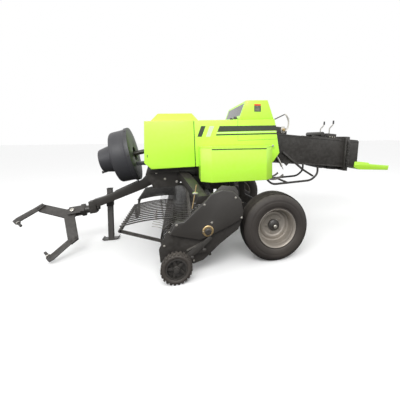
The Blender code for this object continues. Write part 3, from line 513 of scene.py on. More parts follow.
def bolts(name, body, spots, surface=None, radius=0.008, side=1, height=0.006):
    """Bolt heads at these places, heads towards +Y for side 1 and -Y for side -1."""
    heads = []
    for spot in spots:
        flip = Matrix.Rotation(math.pi, 4, "Z") if side < 0 else Matrix.Identity(4)
        heads.append(placed(bolt(radius, height), flip, move_to(*spot)))
    return finished(joined(heads), name, body, surface or ZINC)


# ---- wheels --------------------------------------------------------------------------------
def road_wheel(suffix, side):
    """A tyre with ribs and grooves, its stepped rim, hub, cap and nuts."""
    body = f"road_wheel_{suffix}"
    middle = Matrix.Translation((AXLE_X, side * TRACK_HALF, WHEEL_R))
    face = mirrored(side)
    t, s = WHEEL_R, TYRE_HALF
    tread, ribs, rib_pitch, groove = [], 5, 0.036, t - 0.018
    for k in range(ribs):
        y = (k - ribs // 2) * rib_pitch
        crown = t - 0.001 - (k - ribs // 2) ** 2 * 0.0012
        tread += [(crown, y + 0.013), (crown, y - 0.013), (groove, y - 0.015), (groove, y - 0.021)]
    tread = tread[:-2]
    wall = [(0.198, 0.106), (0.220, 0.120), (0.232, 0.119), (0.240, 0.127), (0.262, 0.131), (0.285, s),
            (0.292, s - 0.003),
            (0.312, s - 0.003), (0.330, s - 0.011), (0.348, s - 0.022), (0.360, s - 0.034),
            (0.366, s - 0.043)]
    profile = wall + tread + [(r, -y) for r, y in reversed(wall)]
    tyre = lathe(rounded_profile(profile, 0.003, 2), 112)
    piece = finished(placed(tyre, face, middle), f"tyre_{suffix}_shape", body, RUBBER, crease=50)
    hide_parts(f"tyre_{suffix}")

    w, r = 0.130, 0.217
    dish = [
        (r, w), (r, w - 0.006), (r - 0.012, w - 0.014), (r - 0.020, w - 0.030), (r - 0.024, 0.02),
        (r - 0.024, -0.06),
        (r - 0.018, -w + 0.02), (r, -w + 0.006), (r, -w), (r - 0.010, -w), (r - 0.028, -w + 0.03),
        (r - 0.034, -0.05),
        (r - 0.040, -0.022), (0.120, -0.012), (0.063, -0.012), (0.063, -0.002), (0.112, -0.002),
        (0.128, 0.006),
        (0.150, 0.004), (0.160, -0.008), (r - 0.036, -0.006), (r - 0.031, 0.04), (r - 0.029, 0.075),
        (r - 0.024, 0.082),
        (r - 0.022, 0.105), (r - 0.010, w - 0.004),
    ]
    rim = lathe(rounded_profile(dish, 0.004, 3), 96)
    piece = finished(placed(rim, face, middle), f"rim_{suffix}_shape", body, SILVER, crease=50)
    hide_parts(f"rim_{suffix}")

    hub = [(0, 0.062), (0.018, 0.062), (0.022, 0.056), (0.026, 0.050), (0.026, 0.040), (0.040, 0.036),
           (0.052, 0.030),
           (0.062, 0.022), (0.062, -0.048), (0.046, -0.064), (0.0265, -0.064), (0.0265, 0.028), (0, 0.028)]
    piece = finished(placed(lathe(hub, 48), face, middle), f"hub_{suffix}_shape", body, BLACK,
                     crease=30)
    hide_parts(f"hub_{suffix}")
    cap = [(0, 0.075), (0.012, 0.0745), (0.019, 0.071), (0.0215, 0.064), (0.0215, 0.0625), (0, 0.0625)]
    finished(placed(lathe(cap, 40), face, middle), f"hub_cap_{suffix}", body, ZINC, crease=60)
    nut = placed(bolt(0.0095, 0.016), Matrix.Translation((0.088, -0.0015, 0)))
    nuts = repeated(nut, 5, ZINC, turn=(0, 2 * math.pi / 5, 0))
    finished(placed(nuts, face, middle), f"wheel_nuts_{suffix}", body, SILVER)


def gauge_wheel(suffix, side):
    """The small lugged wheel beside the pickup, on five spokes."""
    body = f"gauge_wheel_{suffix}"
    middle = Matrix.Translation(joint_place(f"gauge_wheel_{suffix}_spin"))
    face = mirrored(side)
    r, w = GAUGE_HIGH[2] / 2, (GAUGE_HIGH[1] - GAUGE_LOW[1]) / 2
    tyre = [(0.100, w - 0.014), (0.108, w - 0.006), (r - 0.022, w - 0.002), (r - 0.012, w - 0.008),
            (r - 0.007, w - 0.018),
            (r - 0.007, -w + 0.018), (r - 0.012, -w + 0.008), (r - 0.022, -w + 0.002), (0.108, -w + 0.006),
            (0.100, -w + 0.014)]
    shapes = [lathe(rounded_profile(tyre, 0.004, 2), 80)]
    lug = brick((-0.010, 0.010), (-0.041, 0.012), (r - 0.010, r - 0.0005), 0.002)
    shapes.append(repeated(lug, 24, RUBBER, turn=(0, 2 * math.pi / 24, 0)))
    other = placed(lug, Matrix.Diagonal((1, -1, 1, 1)), Matrix.Rotation(math.pi / 24, 4, "Y"))
    shapes.append(repeated(other, 24, RUBBER, turn=(0, 2 * math.pi / 24, 0)))
    piece = finished(placed(joined(shapes), face, middle), f"gauge_tyre_{suffix}", body, RUBBER)
    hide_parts(f"gauge_wheel_{suffix}")
    ring = [(0.086, w - 0.010), (0.101, w - 0.010), (0.101, -w + 0.010), (0.086, -w + 0.010), (0.092, 0)]
    web = lathe([(0.030, -0.012), (0.088, -0.012), (0.088, -0.017), (0.030, -0.017)], 40)
    hub = [(0.0128, w - 0.006), (0.030, w - 0.006), (0.034, w - 0.014), (0.034, -w + 0.010),
           (0.0128, -w + 0.006)]
    spoke = slab([(0.030, -0.016), (0.090, -0.011), (0.090, 0.011), (0.030, 0.016)], "Y", -0.008, 0.014,
                 0.003)
    spokes = repeated(spoke, 5, BLACK, turn=(0, 2 * math.pi / 5, 0))
    parts = [lathe(rounded_profile(ring, 0.002, 2), 60), lathe(rounded_profile(hub, 0.002, 2), 40), spokes,
             web]
    finished(placed(joined(parts), face, middle), f"gauge_hub_{suffix}", body, BLACK)
    end = [(0, w + 0.010), (0.010, w + 0.009), (0.013, w + 0.004), (0.013, w - 0.002), (0, w - 0.002)]
    finished(placed(lathe(end, 30), face, middle), f"gauge_axle_end_{suffix}", "pickup", GOLD)


# ---- green covers --------------------------------------------------------------------------
def stripes(suffix, side):
    """The plain bands along the main panel."""
    out = PANEL_FACE + 0.0003

    def tape(name, outline, surface):
        mesh = slab(outline, "Y", out, out + 0.0012)
        mesh = placed(mesh, FROM_AXLE)
        if side < 0:
            mesh = placed(mesh, Matrix.Diagonal((1, -1, 1, 1)))
        finished(mesh, f"{name}_{suffix}", "frame", surface)

    tape("stripe_slash_dark", [(0.766, 1.512), (0.712, 1.512), (0.760, 1.385), (0.812, 1.385)], DARK_PRINT_AND_SHADE)
    tape("stripe_slash_grey", [(0.664, 1.512), (0.610, 1.512), (0.660, 1.385), (0.712, 1.385)], TAPE_GREY)
    tape("stripe_band", [(0.545, 1.513), (-0.180, 1.524), (-0.186, 1.458), (0.575, 1.442)], DARK_PRINT_AND_SHADE)
    tape("stripe_line_grey", [(0.580, 1.434), (-0.190, 1.450), (-0.191, 1.442), (0.583, 1.426)], TAPE_GREY)
    tape("stripe_line_dark", [(0.585, 1.415), (-0.193, 1.428), (-0.195, 1.412), (0.590, 1.397)], DARK_PRINT_AND_SHADE)


def seam(name, spots, side, out, body="frame"):
    """A thin dark groove line drawn along a cover."""
    path = [P(x, side * out, z) for x, z in spots]
    finished(tube(path, 0.0018, 6), name, body, DARK_PRINT_AND_SHADE)


def covers():
    """The green sheets, doors, twine boxes, hood and chute, with their bands, seams and screws."""
    softened("roof", "frame", GREEN, 0.003)
    softened("top_cover", "frame", GREEN, 0.006, 3)
    softened("front_sheet", "frame", GREEN, 0.002)
    softened("knotter_hood", "hood", GREEN, 0.005, 3)
    softened("bale_chute", "chute", GREEN, 0.003)
    for suffix, side in (("left", 1), ("right", -1)):
        softened(f"front_door_{suffix}", f"front_door_{suffix}", GREEN, 0.006, 3)
        softened(f"main_panel_{suffix}", "frame", GREEN, 0.006, 3)
        softened(f"twine_box_{suffix}", "frame", GREEN, 0.004, 2)
        softened(f"twine_lid_{suffix}", f"twine_lid_{suffix}", GREEN, 0.004, 2)
        stripes(suffix, side)
        out = PANEL_FACE
        seam(f"access_seam_{suffix}", [(0.32, 1.585), (0.32, 1.335), (-0.19, 1.350)], side, out)
        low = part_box(f"twine_lid_{suffix}")[0]
        lip = [P(0.69, side * (BOX_FACE + 0.004), low[2] + 0.004),
               P(0.08, side * (BOX_FACE + 0.004), low[2] + 0.004)]
        finished(tube(lip, 0, flat=(0.004, 0.012)), f"lid_lip_{suffix}", f"twine_lid_{suffix}", GREEN)
        # A near-black strip just below the lid's lip: painted shadow of the lip.
        under = [P(0.69, side * (BOX_FACE + 0.004), low[2] - 0.012),
                 P(0.08, side * (BOX_FACE + 0.004), low[2] - 0.012)]
        finished(tube(under, 0, flat=(0.003, 0.004)), f"lid_shadow_{suffix}", f"twine_lid_{suffix}",
                 DARK_PRINT_AND_SHADE)
        bolts(f"panel_screws_{suffix}", "frame", [(x, side * out, z) for x, z in
              ((-0.145, 1.585), (-0.185, 1.375), (-0.205, 1.20), (0.80, 1.06))], GREEN, 0.006, side, 0.004)
        # The latch slot is a thin near-black block on the door face: painted shade inside the slot.
        slot_low = brick((-0.004, 0.004), (0, 0.002), (-0.016, 0.016), 0.001)
        mesh = placed(slot_low, move_to(1.375, side * out - (0.002 if side < 0 else 0), 1.17))
        finished(mesh, f"latch_slot_{suffix}", f"front_door_{suffix}", DARK_PRINT_AND_SHADE)
        knob = [(0, 0.040), (0.010, 0.040), (0.014, 0.036), (0.014, 0.024), (0.006, 0.022), (0.006, 0.0),
                (0, 0)]
        mesh = placed(lathe(knob, 24), mirrored(side), move_to(-0.125, side * out, 1.265))
        finished(mesh, f"panel_knob_{suffix}", "frame", ZINC)
    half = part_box("knotter_hood")[1][1]
    # A near-black slab across the hood stands for the window: painted shade of the hood's inside.
    pane = slab([(0.276, 1.645), (0.219, 1.805), (0.214, 1.805), (0.271, 1.645)], "Y", -0.515, 0.515)
    finished(placed(pane, FROM_AXLE), "hood_window", "hood", WINDOW_SHADE)
    label = brick((0.022, 0.108), (half + 0.0002, half + 0.0014), (1.692, 1.790))
    finished(placed(label, FROM_AXLE), "hood_label", "hood", DARK_PRINT_AND_SHADE)
    strip = brick((0.022, 0.108), (half + 0.0014, half + 0.002), (1.768, 1.790))
    finished(placed(strip, FROM_AXLE), "hood_label_strip", "hood", LABEL_RED)
    rows = brick((0.034, 0.096), (half + 0.0014, half + 0.0019), (1.702, 1.705))
    lines = repeated(rows, 4, TAPE_GREY, step=(0, 0, 0.016))
    finished(placed(lines, FROM_AXLE), "hood_label_lines", "hood", TAPE_GREY)
    knobs = [placed(bolt(0.022, 0.030), UPRIGHT, move_to(0.335, y, 1.602))
             for y in (-0.45, 0.25, 0.50)]
    finished(joined(knobs), "hood_hinge_knobs", "hood", BLACK)


# ---- drive ---------------------------------------------------------------------------------
def drive():
    """The flywheel in its guard, the input shaft and the gearbox."""
    place = on_drive()
    r = 0.352
    guard = [
        (r - 0.004, 0), (r, 0.004), (r, 0.046), (r - 0.004, 0.052), (r - 0.013, 0.056), (r - 0.015, 0.075),
        (r - 0.018, 0.10),
        (r - 0.021, 0.18), (r - 0.024, 0.212), (r - 0.035, 0.228), (r - 0.060, 0.236), (0.200, 0.252),
        (0.184, 0.258),
        (0.176, 0.268), (0.170, 0.300), (0.146, 0.398), (0.140, 0.410), (0.130, 0.410), (0.134, 0.395),
        (0.160, 0.290),
        (0.166, 0.262), (0.180, 0.248), (r - 0.062, 0.226), (r - 0.040, 0.214), (r - 0.034, 0.18),
        (r - 0.012, 0.045),
        (r - 0.012, 0.012), (0.095, 0.012), (0.090, 0.008), (0.090, 0),
    ]
    shell = lathe(rounded_profile(guard, 0.004, 2), 96, "X")
    bracket = brick((1.4004, 1.575), (-0.09, 0.09), (1.02, 1.06), 0.004)
    whole = joined([placed(shell, place), placed(bracket, FROM_AXLE)])
    piece = finished(whole, "guard_shell", "frame", PLASTIC, crease=50)
    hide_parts("flywheel_guard")
    rim_bolt = placed(bolt(0.008, 0.006), Matrix.Rotation(math.radians(30), 4, "Y"),
                      Matrix.Translation((0.025, r - 0.0005, 0)))
    ring = repeated(rim_bolt, 6, ZINC, turn=(math.pi / 3, 0, 0))
    finished(placed(ring, place), "guard_bolts", "frame", BLACK)
    peg = lathe([(0, -0.02), (0.012, -0.02), (0.012, 0.03), (0.018, 0.032), (0.018, 0.040), (0, 0.040)], 20,
                "X")
    finished(placed(peg, Matrix.Translation((0.395, 0.02, -0.143)), place), "guard_peg", "frame", BLACK)
    f = 0.315
    wheel = [
        (0, -0.249), (0.030, -0.249), (0.030, 0.028), (0.068, 0.040), (f - 0.052, 0.085),
        (f - 0.048, 0.048),
        (f - 0.004, 0.045), (f, 0.049), (f, 0.126), (f - 0.004, 0.130), (f - 0.046, 0.130),
        (f - 0.052, 0.112),
        (0.072, 0.113), (0.052, 0.150), (0.0225, 0.160), (0.0225, 0.342), (0.020, 0.345), (0, 0.345),
    ]
    piece = finished(placed(lathe(wheel, 80, "X"), place), "flywheel_shape", "flywheel", BLACK,
                     crease=40)
    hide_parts("flywheel")
    tooth = brick((0.255, 0.338), (-0.0022, 0.0022), (0.0220, 0.0245), 0.0006)
    finished(placed(repeated(tooth, 6, STEEL, turn=(math.pi / 3, 0, 0)), place), "input_splines",
             "flywheel", STEEL)
    softened("gearbox", "frame", BLACK, 0.008, 3)
    ribs = repeated(brick((1.06, 1.24), (-0.136, -0.128), (1.10, 1.108), 0.002), 6, BLACK,
                    step=(0, 0, 0.045))
    finished(placed(ribs, FROM_AXLE), "gearbox_fins", "frame", BLACK)


# ---- frame, tongue and hitch ---------------------------------------------------------------
def running_gear():
    """Axle, frame, tongue and the hitch with its two arms."""
    for node in ("chassis_frame", "axle_beam", "tongue", "feed_duct", "plunger"):
        softened(node, "frame", BLACK, 0.003)
    softened("rear_bracket", "frame", BLACK, 0.002)
    for suffix, side in (("left", 1), ("right", -1)):
        bolts(f"frame_bolts_{suffix}", "frame",
              [(x, side * 0.372, z) for x, z in ((1.30, 0.95), (1.20, 0.87), (1.06, 0.83), (0.99, 0.94))],
              ZINC, 0.010, side, 0.008)
        bolts(f"axle_bolts_{suffix}", "frame", [(x, side * 0.358, z) for x,
                                                z in ((0.0, 0.445), (0.21, 0.985), (0.24, 0.985))],
              ZINC, 0.008, side)
    softened("hitch_swivel", "swivel", BLACK, 0.002)
    softened("hitch_yoke", "yoke", BLACK, 0.003)
    place = on_yoke()
    for suffix, side in (("left", 1), ("right", -1)):
        softened(f"hitch_arm_{suffix}", "yoke", BLACK, 0.002)
        heads = [placed(bolt(0.013, 0.010), UPRIGHT, Matrix.Translation((x, side * y, 0.0255)), place)
                 for x, y in ((0.185, 0.372), (0.232, 0.372))]
        finished(joined(heads), f"arm_bolts_{suffix}", "yoke", BLACK)
        collar = lathe(rounded_profile([(0.0145, 0), (0.024, 0), (0.024, 0.010), (0.0145, 0.010)], 0.002,
                                       2), 28)
        at = Matrix.Translation((0.47, side * 0.375 - (0.010 if side > 0 else 0) - side * 0.03, 0.0184))
        finished(placed(collar, at, place), f"pin_collar_{suffix}", "yoke", ZINC)
    head = [(0, 0.052), (0.018, 0.052), (0.024, 0.048), (0.024, 0.038), (0, 0.038)]
    turn = Matrix.Translation(joint_place("hitch_roll")) @ Matrix.Rotation(HITCH_TURNS[0], 4, "Y")
    turn = turn @ Matrix.Rotation(HITCH_TURNS[1], 4, "X") @ UPRIGHT
    finished(placed(lathe(head, 28), turn), "yoke_pin_head", "swivel", ZINC)


def jack():
    """The parking jack with its pin and holes."""
    softened("jack_leg", "jack", BLACK, 0.004, 2)
    low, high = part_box("jack_leg")
    x, y = (low[0] + high[0]) / 2, (low[1] + high[1]) / 2
    # The pin holes are solid near-black rods through the leg: painted shade inside the holes.
    hole = lathe([(0, -0.0330), (0.007, -0.0330), (0.007, 0.0330), (0, 0.0330)], 16)
    holes = repeated(hole, 2, DARK_PRINT_AND_SHADE, start=(x, y, 0.12), step=(0, 0, 0.07))
    finished(holes, "jack_pin_holes", "jack", DARK_PRINT_AND_SHADE)
    pin = joined([lathe([(0, -0.06), (0.006, -0.06), (0.006, 0.065), (0, 0.065)], 16),
                  tube([(0, -0.06, 0), (0.02, -0.06, -0.03)], 0.0045, 8)])
    finished(placed(pin, Matrix.Translation((x, y, 0.53))), "jack_pin", "frame", ZINC)
    cap = brick((-0.036, 0.036), (-0.036, 0.036), (0, 0.006), 0.002)
    finished(placed(cap, Matrix.Translation((x, y, high[2] - 0.006))), "jack_top_cap", "jack", BLACK)


# ---- bale chamber --------------------------------------------------------------------------
def coil(radius, wire_radius, turns, length, per_turn=14):
    """A helical spring about Z."""
    count = int(turns * per_turn)
    path = []
    for k in range(count + 1):
        a = 2 * math.pi * k / per_turn
        path.append((radius * math.cos(a), radius * math.sin(a), length * k / count - length / 2))
    return tube(path, wire_radius, 8)


def chamber():
    """The bale chamber with its strips, tension beam, springs and cranks."""
    softened("bale_chamber", "frame", BLACK, 0.003)
    place = along_chamber()
    side = CHAMBER_SIDE
    for suffix, s in (("left", 1), ("right", -1)):
        lows = sorted((s * side, s * (side + 0.006)))
        strips = [brick((-1.05, 0.35), lows, (z - 0.010, z + 0.010), 0.002) for z in (DECK_TOP - 0.012,
                                                                                      -DECK_TOP + 0.012)]
        finished(placed(joined(strips), place), f"chamber_edge_strips_{suffix}", "frame", BLACK)
        head = bolt(0.007, 0.005) if s > 0 else placed(bolt(0.007, 0.005), Matrix.Rotation(math.pi, 4, "Z"))
        for level, z in (("upper", 0.10), ("lower", -0.10)):
            heads = repeated(head, 3, BLACK, start=(-0.10, s * side, z), step=(0.14, 0, 0))
            finished(placed(heads, place), f"chamber_bolts_{level}_{suffix}", "frame", BLACK)
    softened("tension_band", "frame", BLACK, 0.004)
    softened("tension_beam", "frame", BLACK, 0.006, 3)
    spring = coil(0.020, 0.0055, 17, 0.40)
    for suffix, s in (("left", 1), ("right", -1)):
        finished(placed(spring, Matrix.Translation((-0.828, s * (side + 0.067), -0.005)), place),
                 f"tension_spring_{suffix}", "frame", BLACK)
        base = DECK_TOP + 0.076
        y = s * 0.13
        path = [(-0.60, y, base), (-0.60, y, base + 0.085), (-0.655, y, base + 0.145),
                (-0.66, y, base + 0.212)]
        piece = finished(placed(tube(eased(path, 0.02), 0.0085, 12), place), f"crank_rod_{suffix}", "frame",
                         STEEL)
        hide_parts(f"tension_crank_{suffix}")
        grip = lathe(rounded_profile([(0.0086, 0), (0.0125, 0), (0.0125, 0.05), (0.0086, 0.05)], 0.002, 2),
                     20)
        at = Matrix.Translation((-0.6595, y, base + 0.158)) @ UPRIGHT
        finished(placed(grip, at, place), f"crank_grip_{suffix}", "frame", PLASTIC)
    lump = [brick((-0.98, -0.86), (-0.10, 0.10), (-DECK_TOP - 0.045, -DECK_TOP), 0.01),
            brick((-0.76, -0.60), (-0.16, 0.16), (-DECK_TOP - 0.05, -DECK_TOP), 0.012),
            brick((-0.50, -0.42), (-0.20, 0.20), (-DECK_TOP - 0.04, -DECK_TOP), 0.008)]
    finished(placed(joined(lump), place), "chamber_underside_gear", "frame", BLACK)
    rails = [brick((-1.04, -0.30), (y - 0.012, y + 0.012), (DECK_TOP, DECK_TOP + 0.014),
                   0.003) for y in (-0.235, 0.235)]
    finished(placed(joined(rails), place), "chamber_top_rails", "frame", BLACK)
    bolts_top = repeated(placed(bolt(0.008, 0.014), UPRIGHT), 3, ZINC,
                         start=(-0.64, 0.225, DECK_TOP + 0.02), step=(0.04, 0, 0))
    finished(placed(bolts_top, place), "beam_bolts", "frame", ZINC)


def needles():
    """The needles at home and the bent tubes that guard them."""
    shapes = []
    bar = 0.015
    for y in (-0.235, 0.235):
        path = [P(-0.15, y, 1.012), P(-0.15, y, 0.80), P(-0.25, y, 0.70), P(-0.86, y, 0.73),
                P(-0.97, y, 0.82), P(-0.97, y, 0.940)]
        shapes.append(tube(eased(path, 0.06), bar, 14))
    shapes.append(tube([P(-0.48, -0.235, 0.716), P(-0.48, 0.235, 0.716)], bar, 14))
    shapes.append(tube([P(-0.165, -0.235, 0.815), P(-0.165, 0.235, 0.815)], bar, 14))
    finished(joined(shapes), "needle_guard_tubes", "frame", BLACK)
    shapes = []
    for y in (-0.105, 0.105):
        arc = [P(-0.32 + 0.22 * math.cos(math.radians(a)), y, 0.97 + 0.22 * math.sin(math.radians(a)))
               for a in range(315, 222, -6)]
        shapes.append(tube(arc, 0, flat=(0.007, 0.013)))
    piece = finished(joined(shapes), "needle_blades", "frame", STEEL)
    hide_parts("needle_frame")


def knotters():
    """Knotter discs, trip lever, notched arm and the measuring wheel."""
    softened("knotter_frame", "frame", BLACK, 0.003)
    place = along_chamber()
    top = DECK_TOP
    discs = []
    for y in (-0.10, 0.10):
        disc = lathe(rounded_profile([(0.02, -0.012), (0.066, -0.012), (0.066, 0.012), (0.02, 0.012)],
                                     0.002, 2), 40)
        tooth = brick((-0.004, 0.004), (-0.010, 0.010), (0.064, 0.072), 0.001)
        wheel = joined([disc, repeated(tooth, 24, GOLD, turn=(0, math.pi / 12, 0))])
        discs.append(placed(wheel, Matrix.Translation((0.60, y + 0.065, top + 0.075)), place))
    finished(joined(discs), "knotter_discs", "frame", GOLD)
    fingers = []
    for k in range(6):
        lean = math.radians(-35 + 22 * k)
        start = Vector((0.36 + 0.012 * k, 0.20, top + 0.05))
        fingers.append(tube([start, start + Vector((0.02 * math.sin(lean), 0.01, 0.045)),
                             start + Vector((0.07 * math.sin(lean), 0.012, 0.085))], 0.0035, 8))
    finished(placed(joined(fingers), place), "twine_fingers", "frame", GOLD)
    lever = tube(eased([P(-0.20, 0.17, 1.585), P(-0.30, 0.17, 1.622), P(-0.47, 0.17, 1.700)], 0.05), 0.0075,
                 10)
    finished(lever, "trip_lever", "frame", BLACK)
    arm = [P(-0.470, 0.185, 1.705), P(-0.492, 0.19, 1.68), P(-0.512, 0.19, 1.64), P(-0.523, 0.19, 1.60),
           P(-0.522, 0.19, 1.55),
           P(-0.508, 0.19, 1.50), P(-0.48, 0.19, 1.46)]
    finished(tube(eased(arm, 0.02), 0, flat=(0.004, 0.011)), "trip_arm", "frame", ZINC)
    teeth = repeated(brick((-0.002, 0.002), (-0.006, 0.006), (0, 0.005), 0.001), 9, ZINC,
                     start=tuple(P(-0.531, 0.19, 1.55)),
                     step=(0, 0, 0.012))
    finished(teeth, "trip_arm_notches", "frame", ZINC)
    centre = joint_place("measuring_wheel_spin")
    point = slab([(-0.009, 0.036), (0.009, 0.036), (0.002, 0.0555), (-0.002, 0.0555)], "Y", -0.004, 0.004,
                 0.0015)
    star = joined([lathe(rounded_profile([(0.0092, -0.008), (0.040, -0.005), (0.040, 0.005),
                                          (0.0092, 0.008)], 0.002, 2), 40),
                   repeated(point, 12, ZINC, turn=(0, math.pi / 6, 0))])
    piece = finished(placed(star, Matrix.Translation(centre)), "star_wheel", "measuring_wheel", ZINC)
    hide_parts("measuring_wheel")
    hubs = lathe(rounded_profile([(0, 0.022), (0.020, 0.022), (0.020, 0.034), (0, 0.034)][::-1], 0.002, 2),
                 30)
    finished(placed(hubs, Matrix.Translation(centre)), "star_wheel_nut", "frame", GOLD)
    cylinder = joined([tube([P(-0.31, CHAMBER_SIDE + 0.045, 1.09), P(-0.375, CHAMBER_SIDE + 0.045, 0.96)],
                            0.014, 18),
                       tube([P(-0.29, CHAMBER_SIDE + 0.045, 1.13), P(-0.395, CHAMBER_SIDE + 0.045, 0.92)],
                            0.006, 12)])
    finished(cylinder, "brake_spring_can", "frame", ZINC)


# ---- pickup --------------------------------------------------------------------------------
def pickup_sides():
    """Side sheets, drive cover, bearing, gauge arms and their bolts."""
    for suffix, side in (("left", 1), ("right", -1)):
        softened(f"side_sheet_{suffix}", "pickup", BLACK, 0.002)
        softened(f"gauge_arm_{suffix}", "pickup", BLACK, 0.003)
        bolts(f"sheet_bolts_{suffix}", "pickup", [(x, side * SHEET_FACE, z) for x, z in
              ((1.13, 0.46), (1.18, 0.33), (0.90, 0.15), (1.00, 0.145))], ZINC, 0.007, side)
        strip = tube([P(0.97, side * (SHEET_FACE + 0.004), 0.262),
                      P(0.775, side * (SHEET_FACE + 0.004), 0.342)], 0,
                     flat=(0.003, 0.008))
        finished(strip, f"depth_strip_{suffix}", "pickup", STEEL)
    softened("drive_cover", "pickup", BLACK, 0.022, 4)
    face = COVER_FACE
    bolts("cover_bolts", "pickup", [(x, face, z) for x, z in
          ((0.79, 0.715), (0.475, 0.765), (0.415, 0.555), (0.72, 0.53), (1.06, 0.535))], ZINC, 0.008, 1)
    at = move_to(0.76, face + 0.0002, 0.45)
    ring = lathe(rounded_profile([(0.034, 0), (0.056, 0), (0.056, 0.006), (0.050, 0.010), (0.034, 0.010)],
                                 0.0015, 2), 48)
    finished(placed(ring, at), "bearing_ring", "pickup", GOLD)
    cup = lathe(rounded_profile([(0.0, 0.0), (0.039, 0.0), (0.034, 0.031), (0.026, 0.037), (0.0, 0.037)],
                                0.003, 2), 8)
    finished(placed(cup, at), "bearing_nut", "pickup", BLACK)
    ears = repeated(placed(bolt(0.006, 0.006, False), Matrix.Translation((0.047, 0.009, 0))), 3, ZINC,
                    turn=(0, 2 * math.pi / 3, 0))
    finished(placed(ears, at), "bearing_screws", "pickup", ZINC)
    for k, (x, z) in enumerate(((0.92, 0.205), (0.80, 0.268))):
        roller = lathe(rounded_profile([(0, 0), (0.020, 0), (0.020, 0.014), (0.008, 0.018), (0, 0.018)],
                                       0.002, 2), 28)
        finished(placed(roller, move_to(x, COVER_FACE + 0.012, z)), f"depth_roller_{k}", "pickup",
                 BLACK)


def bands():
    """The stripper bands and the trough behind them."""
    x, z = 1.04, 0.345
    r, t = 0.185, 0.005
    turn = [math.radians(96 - 186 * k / 22) for k in range(23)]
    outer = [(0.745, 0.505)] + [(x + r * math.cos(a), z + r * math.sin(a)) for a in turn] + [(0.745, 0.185)]
    inner = [(0.745, 0.191)] + [(x + (r - t) * math.cos(a),
                                 z + (r - t) * math.sin(a)) for a in reversed(turn)]
    inner += [(0.745, 0.499)]
    band = slab(outer + inner, "Y", -0.0205, 0.0205)
    start = (AXLE_X, -(BANDS - 1) / 2 * BAND_PITCH, 0)
    shapes = [repeated(band, BANDS, BLACK, start=start, step=(0, BAND_PITCH, 0))]
    inside = SHEET_INSIDE - 0.0005
    shapes.append(placed(brick((0.733, 0.755), (-inside, inside), (0.480, 0.508), 0.003), FROM_AXLE))
    shapes.append(placed(brick((0.725, 0.750), (-inside, inside), (0.178, 0.200), 0.003), FROM_AXLE))
    piece = finished(joined(shapes), "stripper_bands", "pickup", BLACK)
    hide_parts("pickup_bands")
    head = placed(bolt(0.006, 0.004), UPRIGHT)
    heads = repeated(head, BANDS, ZINC, start=(AXLE_X + 0.765, start[1], 0.509), step=(0, BAND_PITCH, 0))
    finished(heads, "band_bolts", "pickup", ZINC)
    softened("auger_trough", "pickup", BLACK, 0.001)


def reel():
    """The turning core and the four rows of tines."""
    centre = joint_place("reel_spin")
    inside = SHEET_INSIDE - 0.0005
    span = (BANDS - 1) / 2 * BAND_PITCH + 0.045
    bar_r, tip_r = 0.125, 0.30
    shapes = [lathe([(0, -inside), (0.028, -inside), (0.028, inside), (0, inside)], 40)]
    for y in (-span, 0.5 * BAND_PITCH, span):
        disc = lathe(rounded_profile([(0.02, y - 0.005), (0.143, y - 0.005), (0.143, y + 0.005),
                                      (0.02, y + 0.005)], 0.002, 2), 60)
        shapes.append(disc)
    bars = [lathe([(0, -span), (0.010, -span), (0.010, span), (0, span)], 20)]
    bar = placed(bars[0], Matrix.Translation((bar_r, 0, 0)))
    tine = tube(eased([(bar_r + 0.012, -0.012, 0.004), (bar_r + 0.012, 0.0, 0.0),
                       (bar_r + 0.10, 0.0, -0.006), (tip_r, 0, -0.029)], 0.02, 3),
                0.003, 6)
    loops = lathe(rounded_profile([(0.0105, -0.012), (0.0175, -0.012), (0.0175, 0.012), (0.0105, 0.012)],
                                  0.002, 1), 16)
    tine = joined([tine, placed(loops, Matrix.Translation((bar_r, -0.004, 0)))])
    first = -((BANDS - 1) / 2 - 0.5) * BAND_PITCH
    row = repeated(tine, BANDS - 1, STEEL, start=(0, first, 0), step=(0, BAND_PITCH, 0))
    dark, bright = list(shapes), []
    for k in range(4):
        turn = Matrix.Rotation(-2 * math.pi * (k + 0.35) / 4, 4, "Y")
        dark.append(placed(bar, turn))
        bright.append(placed(row, turn))
    at = Matrix.Translation(centre)
    piece = finished(placed(joined(dark), at), "reel_core", "reel", BLACK)
    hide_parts("pickup_reel")
    finished(placed(joined(bright), at), "reel_tines", "reel", STEEL)


def auger():
    """The cross auger, left handed on one side and right handed on the other."""
    centre = joint_place("auger_spin")
    inside = SHEET_INSIDE - 0.0005
    shapes = [lathe([(0, -inside), (0.032, -inside), (0.032, inside), (0, inside)], 32)]
    for hand in (1, -1):
        bm = bmesh.new()
        steps, turns = 120, 3.5
        rows = []
        for k in range(steps + 1):
            a = hand * 2 * math.pi * turns * k / steps
            y = hand * (0.48 + (inside - 0.03 - 0.48) * k / steps)
            rows.append([bm.verts.new((rad * math.cos(a), y + off, rad * math.sin(a)))
                         for rad, off in ((0.030, -0.0025), (0.1165, -0.002), (0.1165, 0.002),
                                          (0.030, 0.0025))])
        bm.faces.new(rows[0])
        bm.faces.new(rows[-1])
        for one, two in zip(rows, rows[1:]):
            for k in range(4):
                bm.faces.new((one[k], two[k], two[(k + 1) % 4], one[(k + 1) % 4]))
        shapes.append(mesh_from(bm))
    piece = finished(placed(joined(shapes), Matrix.Translation(centre)), "auger_flights", "auger", BLACK)
    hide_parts("cross_auger")


